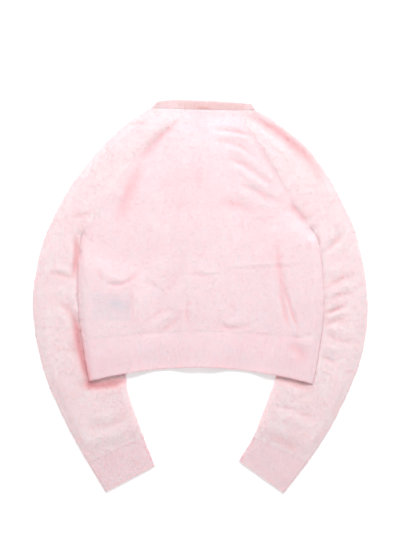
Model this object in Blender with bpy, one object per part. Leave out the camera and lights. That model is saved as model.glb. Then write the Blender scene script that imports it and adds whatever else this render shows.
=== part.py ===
"""A cropped, fluffy pink cardigan with raglan sleeves, laid flat with its back up.

The front lies on the table, the back lies on the front, and both sleeves are
folded in under the body, so their cuffs come out below the hem.

Metres. +X is to the right of the garment as it lies, +Y runs from hem to neck
and +Z is up from the table. The wearer's left is at -X. Each piece of cloth is
one closed wall: a grid of points for its inside and a grid for its outside.
"""
import math
from collections import namedtuple

import bmesh
import bpy

# ---------------------------------------------------------------- cloth sizes
WALL = 0.0020            # knit with its pressed-down nap
RIB_WALL = 0.0016        # rib is denser and has less nap
RIB_RISE = 0.0005        # how far a rib's crest stands above its groove
GAP = 0.0003             # half the space between two pieces at a seam
AIR = 0.0006             # between one layer of cloth and the next
LAYER = WALL + AIR       # the step from one layer to the next
THIN_EDGE = 0.8          # share of the wall rounded away at a folded edge
SEAM_DIP = 0.25          # share of the wall drawn in along a seam
HEM_THIN = 0.7           # share of the rib's wall left at the hem's free edge
ROUND_PLACE = 0.3        # a rounded edge has its own column, this share of the wall in
LOFT = 0.0015            # air between the back and what it lies on

# ------------------------------------------------------------ how it is laid
LIFT = 2 * LAYER + 0.0003   # the body's height where it crosses a sleeve
FRONT_GROW = 0.006       # the front stays up this far past the sleeve's edge
BACK_GROW = 0.009        # and the back, which is stiffened by it, a little more
LIFT_RAMP = 0.018        # both come down to the table over this width
EDGE_FADE = 0.015        # the loft dies away this near an edge
NECK_FADE = 0.018
HEM_FADE = 0.050
NECK_DROOP = 0.0013      # the neckband sags where no front lies under it
NECK_SWELL = 0.06        # the back reaches its full height this far below the neck

# ------------------------------------------------------ front bands, buttons
BAND_HALF = 0.014
BUTTON_RADIUS = 0.0058
BUTTON_HEIGHT = 0.0018
BUTTON_FLOOR = 0.0001    # the buttons hang this far clear of the table
BUTTON_TOP_Y = 0.232
BUTTON_PITCH = 0.068
BUTTON_COUNT = 6
BUTTON_SIDES = 14
OUTER_BAND_Z = BUTTON_FLOOR + BUTTON_HEIGHT + GAP
INNER_BAND_Z = OUTER_BAND_Z + LAYER
OUTER_BAND_RAMP = 0.018
INNER_BAND_RAMP = 0.026
BACK_BAND_RAMP = 0.042   # the back rides over the bands in one broad swell
BACK_BAND_FLAT = 0.004   # and stays level this far past them
NECK_BAND_FLAT = 0.001
BUTTON_BEVEL = 0.35      # share of the button's height
BACK_BAND_RISE = INNER_BAND_Z + GAP

# ------------------------------------------------------------------- labels
LABEL_WALL = 0.0004
LABEL_AIR = 0.0007       # from the back down to a label sewn inside it
NECK_LABEL = (-0.014, 0.295, 0.014, 0.332)      # left, bottom, right, top
CARE_LABEL = (-0.193, -0.043, -0.123, 0.005)

# ----------------------------------------------------------------- the laying
# Across a sleeve: its inner edge, then its outer fold, from neck to cuff.
Section = namedtuple("Section", "inner_x inner_y outer_x outer_y")

SLEEVE_LEFT = (
    Section(-0.0250, 0.3365, -0.0925, 0.3390),
    Section(-0.0450, 0.3130, -0.1080, 0.3290),
    Section(-0.0720, 0.2880, -0.1370, 0.3080),
    Section(-0.1030, 0.2590, -0.1690, 0.2790),
    Section(-0.1300, 0.2340, -0.1980, 0.2450),
    Section(-0.1580, 0.1910, -0.2290, 0.2050),
    Section(-0.1850, 0.1480, -0.2560, 0.1580),
    Section(-0.2140, 0.1100, -0.2790, 0.1080),
    Section(-0.2192, 0.0800, -0.2880, 0.0770),
    Section(-0.2205, 0.0540, -0.2930, 0.0540),
    Section(-0.1980, 0.0340, -0.2960, 0.0360),
    Section(-0.1660, 0.0230, -0.2990, 0.0190),
    Section(-0.1370, 0.0140, -0.3010, -0.0020),
    Section(-0.1280, -0.0140, -0.3000, -0.0320),
    Section(-0.1280, -0.0610, -0.2950, -0.0720),
    Section(-0.1310, -0.1080, -0.2860, -0.1130),
    Section(-0.1330, -0.1510, -0.2710, -0.1600),
    Section(-0.1260, -0.1840, -0.2520, -0.2030),
    Section(-0.1150, -0.2140, -0.2300, -0.2480),
    Section(-0.1020, -0.2520, -0.2010, -0.2990),
    Section(-0.0810, -0.3040, -0.1700, -0.3510),
)
SLEEVE_RIGHT = (
    Section(0.0770, 0.3345, 0.1030, 0.3348),
    Section(0.0860, 0.3040, 0.1300, 0.3200),
    Section(0.1030, 0.2810, 0.1510, 0.3040),
    Section(0.1220, 0.2520, 0.1780, 0.2830),
    Section(0.1400, 0.2180, 0.2030, 0.2570),
    Section(0.1580, 0.1850, 0.2270, 0.2230),
    Section(0.1760, 0.1550, 0.2480, 0.1870),
    Section(0.2035, 0.1190, 0.2740, 0.1330),
    Section(0.2112, 0.1050, 0.2810, 0.1140),
    Section(0.2142, 0.0925, 0.2860, 0.0940),
    Section(0.1900, 0.0900, 0.2900, 0.0760),
    Section(0.1650, 0.0890, 0.2940, 0.0570),
    Section(0.1540, 0.0730, 0.2970, 0.0380),
    Section(0.1510, 0.0500, 0.3000, 0.0140),
    Section(0.1520, 0.0150, 0.3020, -0.0180),
    Section(0.1530, -0.0200, 0.3010, -0.0450),
    Section(0.1530, -0.0540, 0.2970, -0.0740),
    Section(0.1480, -0.0970, 0.2900, -0.1100),
    Section(0.1350, -0.1490, 0.2750, -0.1510),
    Section(0.1240, -0.1800, 0.2570, -0.1910),
    Section(0.1120, -0.2110, 0.2270, -0.2480),
    Section(0.0960, -0.2520, 0.1930, -0.2980),
    Section(0.0700, -0.2950, 0.1510, -0.3530),
)
UNDERARM = 7             # the section where body and sleeve part
DIVE = 9                 # from this one on, the sleeve is under the body
NECK_LEFT = 1.72         # where the front neck cuts the raglan seams,
NECK_RIGHT = 1.10        # counted in sections

# Down the body below the underarms: both side seams, and the row's arch.
Row = namedtuple("Row", "left_x left_y right_x right_y arch")

BODY_ROWS = (
    Row(-0.2160, 0.0960, 0.2105, 0.1040, 0.000),
    Row(-0.2178, 0.0820, 0.2140, 0.0880, 0.001),
    Row(-0.2190, 0.0660, 0.2165, 0.0720, 0.002),
    Row(-0.2198, 0.0480, 0.2185, 0.0560, 0.003),
    Row(-0.2200, 0.0300, 0.2205, 0.0360, 0.005),
    Row(-0.2198, 0.0100, 0.2220, 0.0140, 0.007),
    Row(-0.2185, -0.0150, 0.2228, -0.0120, 0.010),
    Row(-0.2160, -0.0440, 0.2212, -0.0430, 0.013),
    Row(-0.2110, -0.0790, 0.2160, -0.0790, 0.016),
)
RIB_ROWS = (
    Row(-0.2110, -0.0793, 0.2160, -0.0793, 0.016),
    Row(-0.2060, -0.1150, 0.2100, -0.1180, 0.021),
    Row(-0.1990, -0.1520, 0.2020, -0.1570, 0.027),
)

# Round the back neck: the band's seam, then its free edge.
Band = namedtuple("Band", "seam_x seam_y free_x free_y")

BACK_NECK = (
    Band(0.1005, 0.3363, 0.0945, 0.3468),
    Band(0.0770, 0.3350, 0.0780, 0.3485),
    Band(0.0450, 0.3355, 0.0450, 0.3510),
    Band(0.0100, 0.3363, 0.0100, 0.3530),
    Band(-0.0250, 0.3371, -0.0250, 0.3540),
    Band(-0.0560, 0.3385, -0.0530, 0.3540),
    Band(-0.0890, 0.3406, -0.0780, 0.3515),
)
FRONT_NECK_LEFT = ((-0.0500, 0.2770), (-0.0330, 0.2630), (-0.0146, 0.2560))
FRONT_NECK_RIGHT = ((0.0680, 0.2770), (0.0400, 0.2610), (0.0146, 0.2560))
NECK_WIDTH = 0.0135
NECK_STEPS = 8           # across each sleeve's neck edge
FRONT_START = 0.06       # a front's tip lies this part of a section below the cut,
FRONT_TIP = 0.12         # this share of a step along its neckline

# Each side's sleeve, its low front neckline and where the two meet.
SIDES = {-1: (SLEEVE_LEFT, FRONT_NECK_LEFT, NECK_LEFT),
         1: (SLEEVE_RIGHT, FRONT_NECK_RIGHT, NECK_RIGHT)}

# The largest folds of the side that shows: a line, its half width and height.
Fold = namedtuple("Fold", "from_x from_y to_x to_y width height")

FOLDS = (
    Fold(-0.030, 0.318, -0.090, 0.262, 0.011, -0.0011),
    Fold(-0.090, 0.262, -0.132, 0.226, 0.012, -0.0010),
    Fold(-0.100, 0.240, -0.155, 0.112, 0.026, -0.0008),
    Fold(0.020, 0.302, 0.080, 0.290, 0.011, -0.0009),
    Fold(0.020, 0.280, 0.078, 0.266, 0.012, -0.0009),
    Fold(0.045, 0.252, 0.125, 0.190, 0.014, -0.0011),
    Fold(0.045, 0.205, 0.155, 0.163, 0.014, -0.0011),
    Fold(0.070, 0.238, 0.140, 0.182, 0.012, 0.0008),
    Fold(-0.018, 0.070, -0.090, -0.045, 0.022, -0.0008),
    Fold(-0.100, 0.022, -0.072, 0.010, 0.012, -0.0008),
    Fold(0.140, 0.040, 0.168, -0.066, 0.014, -0.0008),
    Fold(0.020, 0.050, 0.190, 0.050, 0.009, -0.0005),
    Fold(0.172, -0.080, 0.190, -0.112, 0.016, -0.0009),
    Fold(-0.240, -0.022, -0.218, -0.068, 0.012, -0.0008),
    Fold(-0.205, -0.232, -0.130, -0.214, 0.016, -0.0009),
    Fold(0.232, 0.028, 0.272, 0.042, 0.012, -0.0008),
    Fold(0.228, -0.100, 0.246, -0.118, 0.012, -0.0009),
    Fold(0.126, -0.196, 0.216, -0.222, 0.014, -0.0009),
)

# --------------------------------------------------------------- mesh density
SIDE_COLUMNS = 9         # over each side of the body, where it rides up
MIDDLE_COLUMNS = 5       # from there to the front band
SIDE_SHARE = 0.27        # how much of the body's width each side takes
FRONT_SHARE = 0.459      # and how much of a front's
SLEEVE_COLUMNS = 7
SLEEVE_PITCH = 0.05      # about the length of one section of a sleeve
FOLD_STEPS = 4
NECK_FOLD_STEPS = 6
BAND_ROWS = 14
BAND_COLUMNS = 3
LABEL_ROWS = 4
LABEL_COLUMNS = 9
HEM_RIBS = 76
CUFF_RIBS = 20
NECK_RIBS = 34
SHARP_ANGLE = math.radians(50.0)

PINK_BACK = (0.97, 0.72, 0.74, 1.0)
PINK_SLEEVE = (0.94, 0.69, 0.71, 1.0)
PINK_RIB = (0.92, 0.64, 0.67, 1.0)
PINK_NECK = (0.90, 0.58, 0.60, 1.0)
SHELL = (0.93, 0.80, 0.79, 1.0)
SATIN = (0.88, 0.88, 0.92, 1.0)


# ------------------------------------------------------------- plain helpers
def clamp(value):
    return max(0.0, min(1.0, value))


def smooth(value):
    """Rises softly from 0 to 1 as value does."""
    value = clamp(value)
    return value * value * (3.0 - 2.0 * value)


def mix(start, end, share):
    return tuple(a + (b - a) * share for a, b in zip(start, end))


def spread(start, end, count):
    """count even steps from start to end, with both ends."""
    return [start + (end - start) * i / count for i in range(count + 1)]


def distance(x, y, ax, ay, bx, by):
    """How far a point is from a straight line between two points."""
    dx, dy = bx - ax, by - ay
    share = clamp(((x - ax) * dx + (y - ay) * dy) / (dx * dx + dy * dy))
    return math.hypot(x - ax - share * dx, y - ay - share * dy)


def line_distance(x, y, line):
    return min(distance(x, y, *a, *b) for a, b in zip(line, line[1:]))


def inside(x, y, outline):
    found = False
    for (ax, ay), (bx, by) in zip(outline, outline[1:] + outline[:1]):
        if (ay > y) != (by > y) and x < ax + (y - ay) * (bx - ax) / (by - ay):
            found = not found
    return found


def shrink(height, edge):
    """Share of the wall left at this distance from an edge drawn in by height."""
    reach = clamp(1.0 - edge / WALL)
    return 1.0 - height * (1.0 - math.sqrt(max(0.0, 1.0 - reach * reach)))


# --------------------------------------------------- how the layers are piled
def hidden_outline(sections):
    """Plan of the stretch of sleeve that lies under the body."""
    under = sections[DIVE:]
    inner = [(s.inner_x, s.inner_y) for s in under]
    return inner + [(s.outer_x, s.outer_y) for s in reversed(under)]


def side_line(sections, side):
    """The body's side seam, from the underarm to the hem's corner."""
    start = sections[UNDERARM]
    rows = BODY_ROWS + RIB_ROWS[1:]
    line = [(start.inner_x, start.inner_y)]
    if side < 0:
        return line + [(row.left_x, row.left_y) for row in rows]
    return line + [(row.right_x, row.right_y) for row in rows]


HIDDEN = (hidden_outline(SLEEVE_LEFT), hidden_outline(SLEEVE_RIGHT))
LEFT_SIDE = side_line(SLEEVE_LEFT, -1)
RIGHT_SIDE = side_line(SLEEVE_RIGHT, 1)


def arched(row, share, drop=0.0):
    """A point on one row across the body."""
    x = row.left_x + (row.right_x - row.left_x) * share
    y = row.left_y + (row.right_y - row.left_y) * share
    return x, y + row.arch * 4.0 * share * (1.0 - share) + drop


HEM_LINE = [arched(RIB_ROWS[-1], share) for share in spread(0.0, 1.0, 16)]
BODY_PLAN = LEFT_SIDE + HEM_LINE[1:-1] + RIGHT_SIDE[::-1]
NECK_LINE = [(s.seam_x, s.seam_y) for s in BACK_NECK]


def lift(x, y, grow):
    """The body's height over the sleeves folded in under it."""
    height = 0.0
    for outline in HIDDEN:
        if inside(x, y, outline):
            return LIFT
        edge = line_distance(x, y, outline + outline[:1])
        height = max(height, LIFT * smooth(1.0 - (edge - grow) / LIFT_RAMP))
    return height


def front_height(x, y):
    """Underside of the front, which climbs to its band at the middle."""
    edge = abs(x) - BAND_HALF
    if x > 0.0:
        climb = OUTER_BAND_Z * smooth(1.0 - edge / OUTER_BAND_RAMP)
    else:
        climb = INNER_BAND_Z * smooth(1.0 - edge / INNER_BAND_RAMP)
    return lift(x, y, FRONT_GROW) + climb


def folds(x, y):
    total = 0.0
    for fold in FOLDS:
        away = distance(x, y, fold.from_x, fold.from_y, fold.to_x, fold.to_y)
        total += fold.height * math.exp(-((away / fold.width) ** 2))
    return total


def loft(x, y):
    """Air under the cloth on top, with its folds, dying away at the edges."""
    side = min(line_distance(x, y, LEFT_SIDE), line_distance(x, y, RIGHT_SIDE))
    fade = smooth(side / EDGE_FADE) * smooth(line_distance(x, y, NECK_LINE) / NECK_FADE)
    hem = line_distance(x, y, HEM_LINE)
    return fade * smooth(hem / HEM_FADE) * max(0.0, LOFT + folds(x, y))


def back_height(x, y):
    """Underside of the back."""
    over_front = smooth((NECK_LINE[3][1] - y) / NECK_SWELL)
    past_band = abs(x) - BAND_HALF - BACK_BAND_FLAT
    swell = over_front * smooth(1.0 - past_band / BACK_BAND_RAMP)
    level = lift(x, y, BACK_GROW) + LAYER
    return level + loft(x, y) * (1.0 - swell) + BACK_BAND_RISE * swell


# -------------------------------------------------------------- mesh builders
def material(name, colour, roughness):
    made = bpy.data.materials.new(name)
    made.use_nodes = True
    shader = made.node_tree.nodes["Principled BSDF"]
    shader.inputs["Base Color"].default_value = colour
    shader.inputs["Roughness"].default_value = roughness
    return made


def cloth(name, inner, outer, colour, roughness=0.95):
    """One closed wall between two grids of points of the same size."""
    rows, columns = len(inner), len(inner[0])
    mesh = bpy.data.meshes.new(name)
    bm = bmesh.new()
    sides = [[[bm.verts.new(p) for p in row] for row in grid] for grid in (inner, outer)]
    for grid in sides:
        for r in range(rows - 1):
            for c in range(columns - 1):
                bm.faces.new((grid[r][c], grid[r][c + 1], grid[r + 1][c + 1], grid[r + 1][c]))
    rim = [(0, c) for c in range(columns)]
    rim += [(r, columns - 1) for r in range(1, rows)]
    rim += [(rows - 1, c) for c in range(columns - 2, -1, -1)]
    rim += [(r, 0) for r in range(rows - 2, 0, -1)]
    low, high = sides
    for (r1, c1), (r2, c2) in zip(rim, rim[1:] + rim[:1]):
        bm.faces.new((low[r1][c1], low[r2][c2], high[r2][c2], high[r1][c1]))
    bmesh.ops.recalc_face_normals(bm, faces=bm.faces)
    bmesh.ops.triangulate(bm, faces=bm.faces)
    bm.to_mesh(mesh)
    bm.free()
    mesh.shade_smooth()
    mesh.set_sharp_from_angle(angle=SHARP_ANGLE)
    mesh.materials.append(material(name, colour, roughness))
    piece = bpy.data.objects.new(name, mesh)
    bpy.context.scene.collection.objects.link(piece)
    return piece


def body_shares():
    """Where the body's columns run, closest together where it rides up."""
    left = spread(0.0, SIDE_SHARE, SIDE_COLUMNS)
    middle = spread(SIDE_SHARE, 1.0 - SIDE_SHARE, 2 * MIDDLE_COLUMNS)
    return left + middle[1:-1] + [1.0 - share for share in reversed(left)]


def between(left, right, shares, arch):
    """A row of points from one side to the other, with rounded-edge columns."""
    width = math.dist(left, right)
    trim = [WALL * ROUND_PLACE / width, WALL / width]
    places = [shares[0]] + trim + shares[1:-1] + [1.0 - t for t in reversed(trim)] + [shares[-1]]
    row = []
    for share in places:
        x, y = mix(left, right, share)
        row.append((x, y + arch * 4.0 * share * (1.0 - share), share * width, (1.0 - share) * width))
    return row


# ----------------------------------------------------------------- the pieces
def back_rows():
    """Rows across the back, from the neck seam to the hem rib."""
    shares = body_shares()
    rows = []
    for a, b in zip(SLEEVE_LEFT[:UNDERARM + 1], SLEEVE_RIGHT[:UNDERARM + 1]):
        left = (a.inner_x + 2 * GAP, a.inner_y)
        right = (b.inner_x - 2 * GAP, b.inner_y)
        rows.append((between(left, right, shares, 0.0), SEAM_DIP))
    for row in BODY_ROWS:
        left, right = (row.left_x, row.left_y), (row.right_x, row.right_y)
        rows.append((between(left, right, shares, row.arch), THIN_EDGE))
    return rows


def back():
    inner, outer = [], []
    for row, dip in back_rows():
        low = [(x, y, back_height(x, y)) for x, y, _, _ in row]
        high = [(x, y, z + WALL * shrink(dip, min(near, far)))
                for (x, y, z), (_, _, near, far) in zip(low, row)]
        inner.append(low)
        outer.append(high)
    return cloth("back", inner, outer, PINK_BACK)


def sleeve_place(sections, station, share):
    """A point in plan, share of the way from the inner edge to the outer fold."""
    first = min(int(station), len(sections) - 2)
    here, there = sections[first], sections[first + 1]
    section = mix(here, there, station - first)
    return mix(section[:2], section[2:], share)


def sleeve_ring(sections, station, under_station, ribs):
    """One ring of a sleeve: up the under layer, round the fold, back on top."""
    fold_radius = WALL + AIR / 2.0
    inner_edge = sleeve_place(sections, station, 0.0)
    fold_edge = sleeve_place(sections, station, 1.0)
    width = math.dist(inner_edge, fold_edge)
    flat = 1.0 - fold_radius / width
    body_side = smooth(station - UNDERARM)
    dip = SEAM_DIP + (THIN_EDGE - SEAM_DIP) * body_side
    wall = RIB_WALL if ribs else WALL
    edge_shares = [0.0, WALL * ROUND_PLACE / width, WALL / width]
    shares = edge_shares + spread(WALL / width, flat, SLEEVE_COLUMNS)[1:]
    inner, outer = [], []
    for share in shares:
        depth = under_station(share) if under_station else station
        x, y = sleeve_place(sections, depth, share)
        inner.append((x, y, WALL))
        outer.append((x, y, WALL - WALL * shrink(dip, share * width)))
    toward = mix((0.0, 0.0), (fold_edge[0] - inner_edge[0], fold_edge[1] - inner_edge[1]),
                 1.0 / width)
    centre = sleeve_place(sections, station, flat)
    for step in range(1, FOLD_STEPS):
        angle = math.pi * (step / FOLD_STEPS - 0.5)
        for grid, radius in ((inner, AIR / 2.0), (outer, fold_radius)):
            out = radius * math.cos(angle)
            grid.append((centre[0] + toward[0] * out, centre[1] + toward[1] * out,
                         fold_radius + radius * math.sin(angle)))
    if ribs:
        top_shares = edge_shares[:2] + spread(WALL / width, flat, 2 * ribs)
    else:
        top_shares = shares
    for index, share in enumerate(reversed(top_shares)):
        x, y = sleeve_place(sections, station, share)
        rise = RIB_RISE * (index % 2) if ribs else 0.0
        air = 0.0 if ribs or (station >= DIVE and inside(x, y, BODY_PLAN)) else loft(x, y)
        air *= smooth((flat - share) * width / EDGE_FADE)
        air *= smooth(len(sections) - 2 - station)
        z = LAYER + air
        inner.append((x, y, z))
        outer.append((x, y, z + (wall + rise) * shrink(dip, share * width)))
    return inner, outer


def sleeve(name, sections, neck_station):
    """From the neck and raglan seams to the cuff's seam."""
    last = len(sections) - 2
    inner, outer = [], []
    for index in range(last + 1):
        def under(share, row=index):
            start = neck_station * (1.0 - share)
            if row == 0:
                return start
            return (start + 2.0) / 2.0 if row == 1 else float(row)
        station = index if index < last else last - 2 * GAP / SLEEVE_PITCH
        rule = under if index < 2 else None
        low, high = sleeve_ring(sections, float(station), rule, 0)
        inner.append(low)
        outer.append(high)
    return cloth(name, inner, outer, PINK_SLEEVE)


def cuff(name, sections):
    """A ribbed tube over the last stretch of the sleeve."""
    last = len(sections) - 1
    inner, outer = [], []
    for station in (last - 1.0, last - 0.5, float(last)):
        low, high = sleeve_ring(sections, station, None, CUFF_RIBS)
        inner.append(low)
        outer.append(high)
    return cloth(name, inner, outer, PINK_RIB)


def neck_seam(side):
    """The front neckline, from the corner of the neck down to the band."""
    sections, low, start = SIDES[side]
    shares = spread(1.0, 0.0, NECK_STEPS)
    seam = [sleeve_place(sections, start * (1.0 - share), share) for share in shares]
    return seam + list(low)


def shifted(line, width):
    """The same line, moved to its left by this width."""
    moved = []
    for index, (x, y) in enumerate(line):
        ax, ay = line[max(index - 1, 0)]
        bx, by = line[min(index + 1, len(line) - 1)]
        length = math.dist((ax, ay), (bx, by))
        moved.append((x - (by - ay) / length * width, y + (bx - ax) / length * width))
    return moved


def front_line(side):
    """Both long edges of one front: neck and band, then raglan and side."""
    sections, _, start = SIDES[side]
    edge = [sleeve_place(sections, start + FRONT_START, 0.0)]
    edge += [sleeve_place(sections, float(k), 0.0) for k in range(2, UNDERARM + 1)]
    outer = [(x - side * 2 * GAP, y) for x, y in edge]
    outer += (LEFT_SIDE if side < 0 else RIGHT_SIDE)[1:len(BODY_ROWS) + 1]
    curve = shifted(neck_seam(side), 2 * GAP * side)[NECK_STEPS:]
    curve[0] = mix(curve[0], curve[1], FRONT_TIP)
    middle_x = side * (BAND_HALF + 2 * GAP)
    curve[-1] = (middle_x, curve[-1][1])
    bottom = arched(BODY_ROWS[-1], 0.5)[1]
    down = spread(curve[-1][1], bottom, len(outer) - len(curve))
    return curve + [(middle_x, y) for y in down[1:]], outer


def front(name, side):
    inner, outer = [], []
    near_line, far_line = front_line(side)
    shares = spread(0.0, 1.0 - FRONT_SHARE, MIDDLE_COLUMNS)
    shares += spread(1.0 - FRONT_SHARE, 1.0, SIDE_COLUMNS)[1:]
    for index, (near, far) in enumerate(zip(near_line, far_line)):
        width = math.dist(near, far)
        dip = THIN_EDGE if index > UNDERARM - 1 else SEAM_DIP
        trim = WALL / width
        places = shares[:-1] + [1.0 - trim, 1.0 - trim * ROUND_PLACE, 1.0]
        arch = BODY_ROWS[-1].arch * smooth((index - UNDERARM) / (len(near_line) - UNDERARM))
        low_row, high_row = [], []
        for share in places:
            x, y = mix(near, far, share)
            y += arch * share * (1.0 - share)
            top = front_height(x, y) + WALL
            high_row.append((x, y, top))
            low_row.append((x, y, top - WALL * shrink(dip, (1.0 - share) * width)))
        inner.append(high_row)
        outer.append(low_row)
    return cloth(name, inner, outer, PINK_BACK)


def hem_back():
    """The ribbed hem of the back, one crest or groove in every column."""
    inner, outer = [], []
    for level, row in enumerate(RIB_ROWS):
        left, right = (row.left_x, row.left_y - GAP), (row.right_x, row.right_y - GAP)
        points = between(left, right, spread(0.0, 1.0, 2 * HEM_RIBS), row.arch)
        low_row, high_row = [], []
        for index, (x, y, near, far) in enumerate(points):
            z = back_height(x, y)
            wall = RIB_WALL + RIB_RISE * (index % 2)
            wall *= HEM_THIN if level == len(RIB_ROWS) - 1 else 1.0
            low_row.append((x, y, z))
            high_row.append((x, y, z + wall * shrink(THIN_EDGE, min(near, far))))
        inner.append(low_row)
        outer.append(high_row)
    return cloth("hem_rib_back", inner, outer, PINK_RIB)


def hem_front(name, side):
    inner, outer = [], []
    for row in RIB_ROWS:
        corner = (row.left_x, row.left_y - GAP) if side < 0 else (row.right_x, row.right_y - GAP)
        near = (side * (BAND_HALF + GAP), arched(row, 0.5, -GAP)[1])
        width = math.dist(near, corner)
        places = spread(0.0, 1.0 - WALL / width, SIDE_COLUMNS + MIDDLE_COLUMNS)
        places += [1.0 - WALL * ROUND_PLACE / width, 1.0]
        low_row, high_row = [], []
        for share in places:
            x, y = mix(near, corner, share)
            y += row.arch * share * (1.0 - share)
            top = front_height(x, y) + WALL
            high_row.append((x, y, top))
            low_row.append((x, y, top - WALL * shrink(THIN_EDGE, (1.0 - share) * width)))
        inner.append(high_row)
        outer.append(low_row)
    return cloth(name, inner, outer, PINK_RIB)


def band(name, height):
    """One front band, from the neck's free edge to the hem."""
    top = FRONT_NECK_LEFT[-1][1] + NECK_WIDTH
    bottom = arched(RIB_ROWS[-1], 0.5)[1]
    inner, outer = [], []
    for y in spread(top, bottom, BAND_ROWS):
        xs = spread(-BAND_HALF, BAND_HALF, BAND_COLUMNS)
        outer.append([(x, y, height) for x in xs])
        inner.append([(x, y, height + WALL) for x in xs])
    return cloth(name, inner, outer, PINK_RIB)


def buttons():
    """Small domed buttons, their faces towards the table."""
    for index in range(BUTTON_COUNT):
        name = "button_%d" % (index + 1)
        mesh = bpy.data.meshes.new(name)
        bm = bmesh.new()
        bmesh.ops.create_cone(bm, cap_ends=True, segments=BUTTON_SIDES, radius1=BUTTON_RADIUS,
                              radius2=BUTTON_RADIUS, depth=BUTTON_HEIGHT)
        face_edges = [e for e in bm.edges if all(v.co.z < 0.0 for v in e.verts)]
        bmesh.ops.bevel(bm, geom=face_edges, offset=BUTTON_HEIGHT * BUTTON_BEVEL, segments=2,
                        profile=0.6, affect="EDGES")
        bm.to_mesh(mesh)
        bm.free()
        mesh.shade_smooth()
        mesh.set_sharp_from_angle(angle=SHARP_ANGLE)
        mesh.materials.append(material(name, SHELL, 0.25))
        piece = bpy.data.objects.new(name, mesh)
        centre_z = BUTTON_FLOOR + BUTTON_HEIGHT / 2.0
        piece.location = (0.0, BUTTON_TOP_Y - BUTTON_PITCH * index, centre_z)
        bpy.context.scene.collection.objects.link(piece)


def neck_wall(station, height, facing, rib):
    """Inside and outside points across the band at one place."""
    wall = RIB_WALL + RIB_RISE * rib
    points = []
    for share in (0.0, 1.0):
        x, y = mix(station[:2], station[2:], share)
        z = height[0] + (height[1] - height[0]) * share
        points.append(((x, y, z), (x, y, z + facing * wall)))
    return [p[0] for p in points], [p[1] for p in points]


def neck_front(side, height_at_band):
    """The stretch of neckband on the front, from the band to the corner."""
    seam = shifted(neck_seam(side), -2 * GAP * side)
    free = shifted(seam, -NECK_WIDTH * side)
    end = side * (BAND_HALF + 2 * GAP)
    seam[-1], free[-1] = (end, seam[-1][1]), (end, seam[-1][1] + NECK_WIDTH)
    rows = []
    for (x, y), edge in reversed(list(zip(seam, free))[1:]):
        past_band = abs(x) - BAND_HALF - NECK_BAND_FLAT
        rise = height_at_band * smooth(1.0 - past_band / INNER_BAND_RAMP)
        rows.append(neck_wall((x, y) + edge, (rise + RIB_WALL, rise + RIB_WALL), -1.0, 0))
    return rows


def neck_corner(station, outward):
    """Round the fold at the neck's corner, from the front up to the back."""
    seam, free = station[:2], station[2:]
    length = math.dist(seam, free)
    along = ((free[0] - seam[0]) / length, (free[1] - seam[1]) / length)
    normal = (outward * abs(along[1]), -outward * along[0] * (1 if along[1] > 0 else -1))
    radius = RIB_WALL + AIR / 2.0
    rows = []
    for step in range(NECK_FOLD_STEPS + 1):
        angle = math.pi * (step / NECK_FOLD_STEPS - 0.5)
        inner, outer = [], []
        for point in (seam, free):
            for grid, size in ((inner, AIR / 2.0), (outer, radius)):
                reach = size * math.cos(angle) - radius
                grid.append((point[0] + normal[0] * reach, point[1] + normal[1] * reach,
                             radius + size * math.sin(angle)))
        rows.append((inner, outer))
    return rows


def neck_back():
    """The ribbed stretch that shows, from the right corner to the left."""
    rows = []
    total = len(BACK_NECK) - 1
    for index in range(2, 2 * NECK_RIBS - 1):
        place = index / (2 * NECK_RIBS) * total
        first = min(int(place), total - 1)
        station = mix(BACK_NECK[first], BACK_NECK[first + 1], place - first)
        droop = NECK_DROOP * math.sin(math.pi * index / (2 * NECK_RIBS))
        rows.append(neck_wall(station, (LAYER, LAYER - droop), 1.0, index % 2))
    return rows


def neckband():
    """One strip round the neck, folded over at both corners."""
    rows = neck_front(1, OUTER_BAND_Z)
    rows += neck_corner(BACK_NECK[0], 1.0)
    rows += neck_back()
    rows += list(reversed(neck_corner(BACK_NECK[-1], -1.0)))
    rows += list(reversed(neck_front(-1, INNER_BAND_Z)))
    return cloth("neckband", [row[0] for row in rows], [row[1] for row in rows], PINK_NECK)


def label(name, box):
    """A plain satin tab that lies against the inside of the back."""
    left, bottom, right, top = box
    inner, outer = [], []
    for y in spread(bottom, top, LABEL_ROWS):
        row = [(x, y, back_height(x, y) - LABEL_AIR) for x in spread(left, right, LABEL_COLUMNS)]
        outer.append(row)
        inner.append([(x, y, z - LABEL_WALL) for x, y, z in row])
    return cloth(name, inner, outer, SATIN, 0.5)


def cardigan():
    for old in list(bpy.data.objects):
        bpy.data.objects.remove(old, do_unlink=True)
    back()
    front("front_left", -1)
    front("front_right", 1)
    sleeve("sleeve_left", SLEEVE_LEFT, NECK_LEFT)
    sleeve("sleeve_right", SLEEVE_RIGHT, NECK_RIGHT)
    cuff("cuff_left", SLEEVE_LEFT)
    cuff("cuff_right", SLEEVE_RIGHT)
    hem_back()
    hem_front("hem_rib_front_left", -1)
    hem_front("hem_rib_front_right", 1)
    band("button_band_left", INNER_BAND_Z)
    band("buttonhole_band_right", OUTER_BAND_Z)
    buttons()
    neckband()
    label("neck_label", NECK_LABEL)
    label("care_label", CARE_LABEL)


cardigan()
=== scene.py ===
# %% [markdown]
# # A fluffy cardigan, laid flat with its back up
#
# The garment is a cropped raglan cardigan in a brushed, hairy knit. It lies face
# down: the front is on the table, the back is on the front, and both sleeves are
# folded in under the body, so the cuffs come out below the hem.
#
# The solids of the garment are already packed as a fixed frame. Each is a plain
# wall of cloth. This lesson gives every one of them a finer wall with the creases
# of the real garment, then grows the nap on it as real hairs.

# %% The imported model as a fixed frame
import math
from collections import namedtuple

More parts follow.
